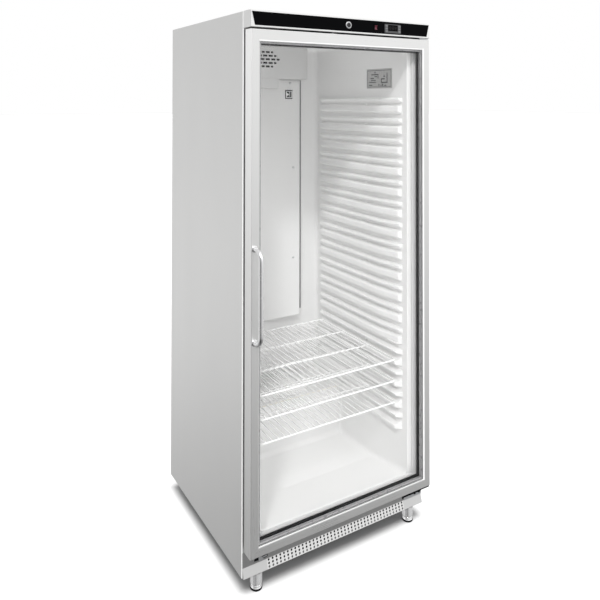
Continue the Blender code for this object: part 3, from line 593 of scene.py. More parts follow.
# ================================================================== casing
def casing():
    f = Form()
    half, top, low, r, hem, t = 385.0, 1895.0, 55.0, 3.0, 2.6, 1.0
    stations = [((-half, low), (1, 0))]
    for i in range(5):
        a = math.pi / 2 * i / 4
        n = (math.cos(a), -math.sin(a))
        stations.append(((-half + r - r * math.cos(a), top - r + r * math.sin(a)), n))
    for i in range(4, -1, -1):
        a = math.pi / 2 * i / 4
        n = (-math.cos(a), -math.sin(a))
        stations.append(((half - r + r * math.cos(a), top - r + r * math.sin(a)), n))
    stations.append(((half, low), (-1, 0)))
    section = [(0.0, 655.0), (0.0, hem)]
    for i in range(1, 6):
        a = math.pi / 2 * i / 5
        section.append((hem - hem * math.cos(a), hem - hem * math.sin(a)))
    section.append((hem, t))
    for i in range(4, -1, -1):
        a = math.pi / 2 * i / 4
        section.append((hem - (hem - t) * math.cos(a), hem - (hem - t) * math.sin(a)))
    section.append((t, 655.0))
    f.loft([[(p[0] + n[0] * d, y, p[1] + n[1] * d) for d, y in section] for p, n in stations])
    flange = [(-382.6, 55), (-340, 55), (-340, 1805), (340, 1805), (340, 55), (382.6, 55), (382.6, 1892.6), (-382.6, 1892.6)]
    f.plate(flange, "y", 0.05, 1.0)
    # folded lips along the foot of each side
    for s in (-1, 1):
        f.block(min(s * 384.2, s * 368), max(s * 384.2, s * 368), 1.5, 654, 54.2, 55.4, 0.4, "y")

    # faces of the front hem take the lighter copy: painted highlight along the hem
    def hem_highlight(c, n):
        return 1 if c.y * 1000 < FRONT + 2.8 and abs(c.x) > 0.3795 else 0

    piece("casing_shell", f, "cabinet", INOX, ["outer_casing"], looks=[INOX_EDGE_HIGHLIGHT], choose=hem_highlight)


casing()


# =========================================================== chamber lining
MOUTH, REAR, DEEP = 320.0, 302.0, 605.0
RIB_TOP, PITCH, PAIRS, TIP = 1611.0, 81.0, 16, 288.0
UPPER = ((2.5, 0.0), (0.9, 0.05), (0.1, 0.28), (-0.5, 0.78), (-1.5, 0.93), (-3.2, 1.0), (-7.6, 1.0), (-10.0, 0.92), (-13.8, 0.52), (-17.6, 0.12), (-20.0, 0.0))
LOWER = ((11.0, 0.0), (8.6, 0.06), (3.0, 0.20), (0.6, 0.28), (-0.2, 0.62), (-1.0, 0.88), (-2.8, 0.98), (-5.0, 1.0), (-12.6, 1.0), (-15.6, 0.92), (-19.0, 0.52), (-22.4, 0.1), (-24.6, 0.0))


FULL = ((12.0, 0.0), (11.0, 0.10), (9.6, 0.55), (8.4, 0.86), (6.4, 0.97), (3.0, 1.0), (-11.0, 1.0), (-14.0, 0.93), (-16.6, 0.62), (-19.6, 0.16), (-22.0, 0.0))


def half_width(y):
    return MOUTH + (REAR - MOUTH) * y / DEEP


def along(table, x):
    """Straight-line lookup in a table that runs downwards."""
    if x >= table[0][0] or x <= table[-1][0]:
        return 0.0
    for (a, fa), (b, fb) in zip(table, table[1:]):
        if b <= x <= a:
            return fa + (fb - fa) * (a - x) / (a - b)
    return 0.0


def swell(y, y0, y1, r0, r1):
    """Round-ended run from y0 to y1."""
    if y <= y0 or y >= y1:
        return 0.0
    a = 1.0 if y >= y0 + r0 else math.sqrt(1 - (1 - (y - y0) / r0) ** 2)
    b = 1.0 if y <= y1 - r1 else math.sqrt(1 - (1 - (y1 - y) / r1) ** 2)
    return min(a, b)


def wall_relief(y, z, start=0.0):
    """How far the moulded wall stands into the chamber, as a share of the rib depth."""
    best = 0.0
    for k in range(PAIRS):
        top = RIB_TOP - PITCH * k
        if not -75 < z - top < 12:
            continue
        low = top - PITCH / 2
        last = 560.0 if low - 23 > 355 else 421.5
        best = max(best, along(UPPER, z - top) * swell(y, 27.0 + start, 563.0, 7.0, 9.0))
        best = max(best, along(FULL if k <= 11 else LOWER, z - low) * swell(y, 31.0 + start, last, 8.0, 9.0))
        # locating nub above the lower rib
        dy, dz = (y - 242.7) / 4.2, (z - low - 11.5) / 6.0
        if abs(dy) < 1 and abs(dz) < 1:
            best = max(best, 0.34 * math.sqrt(max(0.0, 1 - dy * dy)) * math.sqrt(max(0.0, 1 - dz * dz)))
    return best


def lining():
    f = Form()
    levels = {150.0, 165.0, 352.0, 1700.0, 1760.0, 1837.0}
    for k in range(PAIRS):
        top = RIB_TOP - PITCH * k
        low = top - PITCH / 2
        levels |= {top + d for d, _ in UPPER} | {low + d for d, _ in LOWER}
        levels |= {low + d for d in (17.5, 16.2, 14.0, 6.8, 5.5)}
        if k <= 11:
            levels |= {low + d for d, _ in FULL}
    levels = sorted(z for z in levels if 150.0 <= z <= 1837.0)
    depths = [2, 12, 22, 27, 27.6, 29, 31, 31.8, 33, 35, 37.5, 40, 46, 58, 70, 95, 120, 142, 180, 238.5, 239.3, 240.8, 242.7, 244.6, 246.1, 246.9, 300, 360,
              412, 415, 418.5, 420.6, 421.5]
    rear = [430, 480, 530, 549, 551, 554, 557, 559.2, 560, 561.5, 562.6, 563, 580, 607]
    for side in (-1, 1):
        for z0, z1, ys in ((150.0, 352.0, depths), (352.0, 1837.0, depths + rear)):
            zs = [z for z in levels if z0 <= z <= z1]
            start = 0.0 if side > 0 else 34.0
            ys = sorted({y + start if 24 < y < 60 else y for y in ys})
            ny, nz = len(ys), len(zs)
            base = len(f.v)
            for z in zs:
                for y in ys:
                    w = half_width(y)
                    # above the shelves the ribs lead in from a shallow front end
                    tip = TIP + (17.0 * max(0.0, 1 - (y - start - 27) / 115.0) if z > 665 else 0.0)
                    f.v.append((side * (w - wall_relief(y, z, start) * (w - tip)), y, z))
            back = len(f.v)
            for z in zs:
                for y in (ys[0], ys[-1]):
                    f.v.append((side * (half_width(y) + 2.0), y, z))
            for j in range(nz - 1):
                for i in range(ny - 1):
                    a = base + j * ny + i
                    f.f.append((a, a + 1, a + 1 + ny, a + ny))
                b = back + 2 * j
                f.f.append((b, b + 1, b + 3, b + 2))
                f.f.append((base + j * ny, base + (j + 1) * ny, b + 2, b))
                f.f.append((base + j * ny + ny - 1, base + (j + 1) * ny + ny - 1, b + 3, b + 1))
            f.f.append(tuple([base + i for i in range(ny)] + [back + 1, back]))
            up = base + (nz - 1) * ny
            f.f.append(tuple([up + i for i in range(ny)] + [back + 2 * nz - 1, back + 2 * nz - 2]))
    # floor, machine hump, back, ceiling and brow in one sheet with coved sides
    corners = [(2, 179.7), (200, 152), (420, 152), (420, 355), (605, 355), (605, 1835), (48, 1835), (25, 1790), (2, 1790)]
    path = fillet(corners, [0, 80, 18, 9, 20, 20, 14, 10, 0], 5)
    n = len(path)
    cove = 16.0
    arcs = [math.pi / 2 * i / 5 for i in range(6)]
    front, rearward = [], []
    for i, (y, z) in enumerate(path):
        a, b = path[max(0, i - 1)], path[min(n - 1, i + 1)]
        dy, dz = b[0] - a[0], b[1] - a[1]
        length = math.hypot(dy, dz)
        ny_, nz_ = -dz / length, dy / length
        row = []
        for s in (-1, 1):
            for t in arcs if s > 0 else reversed(arcs):
                d = cove * (1 - math.cos(t))
                yy, zz = y + ny_ * d, z + nz_ * d
                row.append((s * (half_width(min(y, 605)) - cove + cove * math.sin(t) + 0.05), yy, zz))
        front.append(row)
        w = half_width(min(y, 605)) + 0.05
        rearward.append([(w, y - ny_ * 2, z - nz_ * 2), (-w, y - ny_ * 2, z - nz_ * 2)])
    f.loft([a + b for a, b in zip(front, rearward)])
    # rounded mouth and the flange behind the gasket
    lip = [("i", -0.35, 9.0)]
    for i in range(6):
        a = math.pi / 2 * i / 5
        lip.append(("i", 5.65 - 6 * math.cos(a), 6 - 6 * math.sin(a)))
    lip += [("o", 0.8, 0.0), ("o", 0.0, 0.8), ("o", 0.0, 2.0), ("i", 6.5, 2.0), ("i", 3.0, 4.0), ("i", 2.0, 9.0)]
    f.surround((-339.7, 339.7, 162, 1804.7), (-320, 320, 180, 1790), lip)
    piece("chamber_lining", f, "cabinet", ABS, ["inner_liner"], smooth=50)


lining()


# ===================================================================== door
def arc_section(edge, r, y_face, into, d0=0.0, n=4, outward=False, deep=None):
    """Quarter-round corner between a side wall and the face at y_face."""
    out = []
    deep = deep or r
    for i in range(n + 1):
        a = math.pi / 2 * i / n
        d = d0 + r - r * math.cos(a)
        y = y_face + into * (deep - deep * math.sin(a))
        out.append((edge, d, y))
    return out if not outward else list(reversed(out))


def door():
    f = Form()
    section = arc_section("o", 3.2, -55.0, 1, n=5)
    section += arc_section("i", 6.5, -55.0, 1, n=6, outward=True, deep=4.0)
    section += arc_section("i", 1.0, -10.0, -1, n=2)
    section += arc_section("o", 1.6, -10.0, -1, n=3, outward=True)
    f.surround((-382, 382, 145, 1833), (-350, 350, 177, 1793), section)
    cuts = [
        Form().lathe([(4.5, 1805), (4.5, 1840)], 362, -35, "z", 24),
        Form().lathe([(4.5, 140), (4.5, 170)], 362, -35, "z", 24),
        Form().plate(rounded(-60, -46, -38, -24, 2.0), "z", 1812, 1840),
    ]

    def rail(c, n):
        x, z = abs(c.x) * 1000, c.z * 1000
        below, above = 177 - z, z - 1793
        # the outer left flank takes the steel with painted shade, darker towards the foot
        if n.x < -0.7 and c.x < -0.37:
            return 2
        # the right stile's inner reveal and the top rail's underside take the lighter copy: painted highlight on the
        # inner edge
        if c.y * 1000 < FRONT - 50.5 and ((0.34 < c.x < 0.365 and n.x < -0.12 and abs(n.z) < 0.1) or (1.78 < c.z < 1.81 and n.z < -0.12)):
            return 3
        return 1 if max(below, above * 32 / 40) > x - 350 else 0

    piece("door_surround", f, "door", INOX_DOOR, ["door_frame"], cuts, 35, [INOX_RAIL, INOX_FLANK_SHADED, INOX_EDGE_HIGHLIGHT], rail)
    gx, g0, g1 = 349.7, 177.3, 1792.7
    for name, node, a, b in (("pane_outer", "glass_outer", -52.0, -48.0), ("pane_inner", "glass_inner", -36.0, -32.0)):
        g = Form().plate(rounded(-gx, gx, g0, g1, 2.0, 3), "y", a, b, 0.7, 2)
        piece(name, g, "door", GLASS, [node], smooth=60)
    bar = [("o", 0.2, -47.0), ("o", 0.9, -47.7), ("o", 5.0, -47.7), ("o", 6.0, -46.6), ("o", 6.0, -44.6), ("o", 5.5, -44.0),
           ("o", 5.5, -40.0), ("o", 6.0, -39.4), ("o", 6.0, -37.4), ("o", 5.0, -36.3), ("o", 0.9, -36.3), ("o", 0.2, -37.0)]
    box = (-gx, gx, g0, g1)
    piece("spacer_bar", Form().surround(box, box, bar), "door", SPACER, ["glazing_spacer"], smooth=40)
    seal = [("o", 0.1, -31.7), ("o", 10.0, -31.7), ("o", 11.0, -31.0), ("o", 11.0, -29.4), ("o", 10.0, -26.2), ("o", 7.2, -23.4), ("o", 3.2, -22.2), ("o", 0.1, -22.0)]
    piece("glazing_bead", Form().surround(box, box, seal), "door", MATTE, ["glazing_seal"], smooth=30)
    bellows = [("o", 0.5, -9.7), ("o", 21.5, -9.7), ("o", 21.5, -8.8), ("o", 16.5, -8.2), ("o", 14.6, -7.0), ("o", 15.6, -6.0), ("o", 18.6, -5.0), ("o", 19.6, -3.6),
               ("o", 18.8, -1.6), ("o", 17.0, -0.7), ("o", 5.0, -0.7), ("o", 3.2, -1.6), ("o", 2.4, -3.6), ("o", 3.4, -5.0), ("o", 6.4, -6.0), ("o", 7.4, -7.0), ("o", 5.5, -8.2), ("o", 0.5, -8.8)]
    ring = (-356, 356, 160, 1814)
    piece("door_bellows", Form().surround(ring, ring, bellows), "door", GASKET, ["door_gasket"], smooth=50)
    # pull handle: a bent round bar on two collars
    h = Form()
    x, front, zc0, zc1, bend = -370.0, -100.0, 829.0, 1127.0, 31.0
    pts = [(x, -55.6, zc0)]
    for i in range(11):
        a = math.pi / 2 * i / 10
        pts.append((x, front + bend - bend * math.sin(a), zc0 + bend - bend * math.cos(a)))
    for k in range(1, 12):
        pts.append((x, front, zc0 + bend + (zc1 - zc0 - 2 * bend) * k / 12))
    for i in range(11):
        a = math.pi / 2 * i / 10
        pts.append((x, front + bend - bend * math.cos(a), zc1 - bend + bend * math.sin(a)))
    pts.append((x, -55.6, zc1))
    h.tube(pts, 7.9, 28, ends=False)
    for z in (zc0, zc1):
        h.lathe([(8.1, -55.1), (10.6, -55.1), (11.0, -55.6), (11.0, -57.6), (10.4, -58.4), (8.8, -58.9), (8.1, -58.9)], x, z, "y", 32, wrap=True)
    piece("pull_handle", h, "door", HANDLE, ["door_handle"], smooth=50)
    # keeper plate over the lock slot
    k = Form().plate(rounded(-66, -40, -45, -18, 3.0), "z", 1833.3, 1834.3, 0.3, 2)
    slot = Form().plate(rounded(-59.5, -46.5, -37.5, -24.5, 2.0), "z", 1830, 1838)
    piece("keeper_plate", k, "door", STEEL, ["lock_keeper"], [slot])
    w = Form().lathe([(4.6, 142.4), (8.6, 142.4), (9.0, 142.8), (9.0, 144.3), (8.6, 144.7), (4.6, 144.7)], 362, -35, "z", 32, wrap=True)
    piece("pivot_washer", w, "door", ABS, ["hinge_washer"])


door()


# ============================================================= kick panel
def kick():
    f = Form()

    def line(z):
        """Depth of the sheet: upright above, leaning out over the vent band."""
        return -1.3 - max(0.0, 86.8 - z) * KICK_LEAN

    cols = [(i - 19.5) * 14.7 for i in range(40)]
    us = [-383.0] + [cols[0] - 7.35 + 14.7 * i for i in range(41)] + [383.0]
    rows = (63.5, 73.0, 82.5)
    vs = [58.0, 68.25, 77.75, 86.8]
    holes = {}
    for j, z in enumerate(rows):
        for i, x in enumerate(cols):
            holes[(i + 1, j)] = circle(3.45, x, z, 16, math.pi / 16)
    f.pierced(us, vs, holes, lambda u, v: (u, line(v), v), lambda u, v: (u, line(v) + 0.9, v))
    # upright part above the band, with the two hinge openings
    us = [-383, -346, -284, 284, 346, 383]
    vs = [86.8, 110.5, 136.0]
    slots = {}
    for i, (a, b) in ((1, (-342, -290)), (3, (290, 342))):
        slots[(i, 0)] = rounded(a, b, 93.0, 108.0, 3.0, 3)
    f.pierced(us, vs, slots, lambda u, v: (u, -1.3, v), lambda u, v: (u, -0.4, v))
    # returns: turned under at the foot and back at both ends
    y0 = line(58.0)
    f.plate([(y0, 58.0), (y0 + 0.9, 57.6), (-0.5, 57.2), (-0.5, 56.2), (y0 + 1.2, 56.6), (y0 + 0.2, 57.0)], "x", -383, 383)
    for s in (-1, 1):
        x0, x1 = (-383.0, -382.1) if s < 0 else (382.1, 383.0)
        f.plate([(y0 + 0.4, 57.4), (-0.45, 57.4), (-0.45, 135.8), (-1.0, 135.8), (-1.0, 87.0)], "x", x0, x1)
    # upright part above the band and both ends take the darker copies: painted shade
    piece("vent_kick_panel", f, "cabinet", INOX_KICK, ["kick_panel"], smooth=15, looks=[INOX_KICK_TOP_SHADED, INOX_KICK_END_SHADED], choose=lambda c, n: 1 if c.z > 0.0869 else 2 if abs(c.x) > 0.2945 else 0)
    tab = Form()
    tab.block(-325, -307, -3.6, -1.6, 90, 122, 0.5, "y", 2.0)
    tab.block(-325, -307, -30, -1.8, 119, 122, 0.6, "z", 3.0)
    piece("hinge_tab_left", tab, "cabinet", STEEL, ["spare_hinge_tab"])
    # matte black sheet behind the vent holes and hinge slots: painted shade inside the openings
    dark = Form()
    dark.block(-379, 379, 0.1, 1.2, 60, 112, 0.3, "y")
    piece("vent_filter", dark, "cabinet", MATTE)
    sill = Form()
    sill.block(-339.8, 339.8, 0.1, 0.9, 112.4, 161.7, 0.2, "y")
    piece("door_sill", sill, "cabinet", INOX_RAIL)


KICK_LEAN = 0.30
kick()


# ============================================================ hinge brackets
def hinges():
    t = Form()
    t.block(338, 383, -50, -0.3, 1834.0, 1837.4, 0.5, "z", 3.0)
    t.block(364, 383, -1.8, -0.3, 1790, 1836, 0.4, "y", 2.0)
    t.lathe([(3.4, 1812), (4.0, 1813), (4.0, 1836)], 362, -35, "z", 24)
    t.lathe([(3.0, 1837.2), (7.2, 1837.2), (7.2, 1837.7), (3.0, 1837.7)], 362, -35, "z", 6, wrap=True)
    piece("top_hinge", t, "cabinet", STEEL, ["hinge_bracket_top"])
    b = Form()
    b.block(338, 383, -50, -1.6, 138, 142, 0.6, "z", 3.0)
    b.block(326, 383, -4.6, -1.6, 97, 141, 0.6, "y", 2.0)
    b.lathe([(4.0, 140), (4.0, 162), (3.4, 163)], 362, -35, "z", 24)
    for x, z in ((350, 100), (372, 100), (361, 124)):
        b.lathe([(5.2, -4.5), (5.2, -5.6), (4.4, -7.0), (2.0, -7.7)], x, z, "y", 20)
    # matte black bracket: painted shade under the door's bottom corner
    piece("bottom_hinge", b, "cabinet", MATTE, ["hinge_bracket_bottom"])
    c = Form()
    c.block(296, 383, -4.6, -1.6, 88, 97.5, 0.5, "y", 2.0)
    piece("bottom_hinge_foot", c, "cabinet", STEEL)


hinges()


# ============================================================ control panel
def round_cut(r, x, z, y0=-70.0, y1=-40.0):
    return Form().lathe([(r, y0), (r, y1)], x, z, "y", 32)


def panel():
    outline = rounded(-53.5, -0.3, 1838, 1895, 2.4, 4)
    shell = Form().plate(outline, "x", -385, 385, 1.6, 3)
    hollow = Form().plate(rounded(-52.3, 4.0, 1839.2, 1893.8, 1.2, 2), "x", -383.8, 383.8)
    cuts = [
        hollow,
        round_cut(10.2, 0, 1866, -60, -45),
        Form().plate(rounded(115.2, 130.8, 1854.8, 1877.2, 1), "y", -60, -45),
        Form().plate(rounded(164.2, 235.8, 1850, 1878, 1), "y", -60, -45),
        Form().plate(rounded(-59, -47, -38, -24, 1), "z", 1830, 1845),
    ]
    piece("control_head", shell, "cabinet", INOX_HEAD, ["control_housing"], cuts, 35)
    gap = Form()
    gap.block(-250, -64, -50, -4, 1835.6, 1837.7, 0.3, "z", 1.0)
    gap.block(-42, 334, -50, -4, 1835.6, 1837.7, 0.3, "z", 1.0)
    piece("head_seal", gap, "cabinet", MATTE)
    trap = [(-369.0, 1844.5), (369.0, 1844.5), (380.0, 1889.0), (-380.0, 1889.0)]
    plate = Form().plate(trap, "y", -53.8, -55.3, 0.0, 3, 0.6)
    cuts = [
        round_cut(10.2, 0, 1866, -60, -45),
        Form().plate(rounded(115.2, 130.8, 1854.8, 1877.2, 1), "y", -60, -45),
        Form().plate(rounded(164.2, 235.8, 1850, 1878, 1), "y", -60, -45),
    ]
    piece("fascia_panel", plate, "cabinet", FASCIA, ["fascia_plate"], cuts, 30)

    bezel = Form().lathe(
        [(8.0, -55.4), (8.0, -58.2), (8.5, -58.9), (9.6, -59.0), (11.2, -58.7), (12.5, -57.8), (13.0, -56.4), (13.0, -55.4), (9.9, -55.4), (9.9, -34.0), (8.0, -34.0)],
        0, 1866, "y", 40, wrap=True)
    piece("lock_collar", bezel, "cabinet", RING, ["lock_bezel"], smooth=35)
    plug = Form().lathe([(6.6, -60.5), (7.3, -60.3), (7.6, -59.7), (7.6, -30.0)], 0, 1866, "y", 36)
    plug.lathe([(9.0, -30.0), (9.0, -24.0)], 0, 1866, "y", 32)
    plug.lathe([(7.6, -24.0), (7.6, -20.5), (6.8, -20.0)], 0, 1866, "y", 32)
    plug.plate(rounded(-18, -4, 1863, 1869, 1.0), "y", -29.9, -24.1, 0.4, 2)
    slot = Form().plate(rounded(-1.2, 1.2, 1861, 1871, 0.9, 3), "y", -65, -54)
    piece("lock_plug", plug, "lock_cylinder", PLUG, ["lock_barrel"], [slot], 35)
    bolt = Form()
    bolt.plate(rounded(-57.5, -48.5, -35, -27, 1.2), "z", 1835.2, 1872, 0.8, 2)
    bolt.plate(rounded(-55.0, -19, 1861, 1871, 1.5), "y", -34.9, -31.1, 0.4, 2)
    piece("lock_pin", bolt, "lock_slider", STEEL, ["lock_bolt"], smooth=35)

    rx, rz = 123.0, 1866.0
    frame_ = Form().plate(rounded(rx - 10, rx + 10, rz - 13, rz + 13, 2.4), "y", -55.4, -57.0, 0.0, 3, 0.7)
    frame_.plate(rounded(rx - 7.5, rx + 7.5, rz - 10.9, rz + 10.9, 1.0), "y", -55.9, -32.0)
    cut_ = Form().plate(rounded(rx - 6.2, rx + 6.2, rz - 9.4, rz + 9.4, 0.8), "y", -65, -40)
    piece("rocker_frame", frame_, "cabinet", FASCIA, ["rocker_socket"], [cut_], 35)
    side = [(-7.5, 7.8), (-6.6, 5.4), (-5.7, 3.2), (-5.0, 1.4), (-4.75, 0.0), (-5.0, -1.4), (-5.7, -3.2), (-6.6, -5.4), (-7.5, -7.8), (-2.5, -7.8), (4.0, -3.4), (4.0, 3.4), (-2.5, 7.8)]
    t = math.radians(7.0)
    turned = [(y * math.cos(t) - z * math.sin(t) - 50.0, y * math.sin(t) + z * math.cos(t) + rz) for y, z in side]
    rock = Form().plate(turned, "x", rx - 5.8, rx + 5.8, 0.5, 2)
    piece("rocker_cap", rock, "rocker", RED, ["rocker_switch"], smooth=35)

    cx, cz = 200.0, 1864.0
    body = Form().plate(rounded(cx - 38, cx + 38, cz - 16.5, cz + 16.5, 3.0, 4), "y", -55.5, -58.8, 0.0, 3, 1.2)
    body.plate(rounded(cx - 35.4, cx + 35.4, cz - 13.6, cz + 13.6, 1.0), "y", -55.9, -14.0)
    cuts = [Form().plate(rounded(cx - 23, cx + 23, cz - 8.5, cz + 14, 1.2), "y", -62, -55.0)]
    for col in (-30.2, 30.2):
        for row in (9.6, 0.0, -9.6):
            cuts.append(Form().plate(rounded(cx + col - 5.3, cx + col + 5.3, cz + row - 3.6, cz + row + 3.6, 1.4, 3), "y", -62, -54))
    piece("controller_case", body, "cabinet", GREY, ["controller_body"], cuts, 35)
    pane = Form().plate(rounded(cx - 22.7, cx + 22.7, cz - 8.2, cz + 13.7, 1.2), "y", -55.3, -58.2, 0.0, 2, 0.3)
    piece("display_window", pane, "cabinet", FASCIA, ["controller_window"], smooth=35)
    digits = Form()
    for dx in (-12.5, 0.0, 12.5):
        for sx, sz, w, h in ((0, 5.4, 5.4, 1.1), (0, 0, 5.4, 1.1), (0, -5.4, 5.4, 1.1), (-3.4, 2.7, 1.1, 4.2), (3.4, 2.7, 1.1, 4.2), (-3.4, -2.7, 1.1, 4.2), (3.4, -2.7, 1.1, 4.2)):
            x, z = cx + dx + sx, cz + 2.8 + sz
            digits.plate(rounded(x - w / 2, x + w / 2, z - h / 2, z + h / 2, 0.4, 2), "y", -58.1, -58.32)
    piece("display_segments", digits, "cabinet", SEGMENT, smooth=30)
    for col, names in ((-30.2, ("key_light", "key_defrost", "key_power")), (30.2, ("key_up", "key_set", "key_down"))):
        for row, name in zip((9.6, 0.0, -9.6), names):
            x, z = cx + col, cz + row
            key = Form().plate(rounded(x - 5.0, x + 5.0, z - 3.3, z + 3.3, 1.3, 3), "y", -55.4, -59.8, 0.0, 3, 0.8)
            piece(name + "_cap", key, name + "_body", KEY, [name], smooth=40)


panel()


# ================================================================= shelves
def shelf(name, node, body, z0):
    f = Form()
    mid = z0 + 3.0
    loop = [(x, y, mid) for x, y in rounded(-295.5, 295.5, 41.0, 549.0, 12.0, 5)]
    f.tube(loop, 3.0, 12, wrap=True)
    for share in (1 / 3, 2 / 3):
        y = 38.0 + 514.0 * share
        f.tube([(-294.5, y, mid), (0, y, mid), (294.5, y, mid)], 2.5, 10)
    for i in range(23):
        x = (i - 11) * 25.0
        pts = [(x, 40.2, z0 + 5.4), (x, 41.8, z0 + 6.3), (x, 45.0, z0 + 6.5), (x, 210, z0 + 6.5), (x, 380, z0 + 6.5), (x, 545.0, z0 + 6.5), (x, 548.2, z0 + 6.3), (x, 549.8, z0 + 5.4)]
        f.tube(pts, 1.7, 8)
    piece(name, f, body, WIRE, [node], smooth=60)


for label, level in (("upper", 12), ("middle", 13), ("lower", 14)):
    shelf("wire_shelf_" + label, "shelf_" + label, "shelf_" + label + "_body", RIB_TOP - PITCH / 2 - PITCH * level + 0.3)


# ============================================================ legs and feet
for tag, fx, fy in (("front_left", -327, 10), ("front_right", 327, 10), ("rear_left", -327, 631), ("rear_right", 327, 631)):
    leg = Form().lathe(
        [(6.4, 18.6), (18.4, 18.6), (19.4, 19.2), (20.0, 20.4), (20.0, 54.7), (17.0, 54.7), (17.0, 50.0), (6.4, 50.0)],
        fx, fy, "z", 48, wrap=True)
    piece("leg_sleeve_" + tag, leg, "cabinet", CHROME_LEG, ["leg_" + tag], smooth=35)
    foot = Form().lathe(
        [(17.2, 4.2), (18.2, 5.2), (18.4, 6.6), (17.5, 8.0), (17.5, 14.4), (16.9, 15.8), (15.6, 16.8), (9.0, 17.4), (5.4, 17.6), (5.4, 46.0)],
        fx, fy, "z", 48)
    ring = [math.radians(60 * i) for i in range(6)]
    for a in ring:
        foot.block(fx + 17.2 * math.cos(a) - 0.9, fx + 17.2 * math.cos(a) + 0.9, fy + 17.2 * math.sin(a) - 0.9, fy + 17.2 * math.sin(a) + 0.9, 8.6, 13.8, 0.3, "z")
    # faces of the adjuster above the knurl are matte black: painted shade of the groove under the leg sleeve
    piece("foot_adjuster_" + tag, foot, "foot_" + tag + "_body", CHROME_LEG, ["foot_" + tag], smooth=35,
          looks=[MATTE], choose=lambda c, n: 1 if c.z > 0.0157 else 0)
    pad = Form().lathe([(18.4, 0.0), (19.4, 0.3), (20.0, 1.2), (20.0, 4.2), (19.2, 5.4), (17.4, 5.9)], fx, fy, "z", 48)
    piece("foot_pad_" + tag, pad, "foot_" + tag + "_body", MATTE, smooth=35)


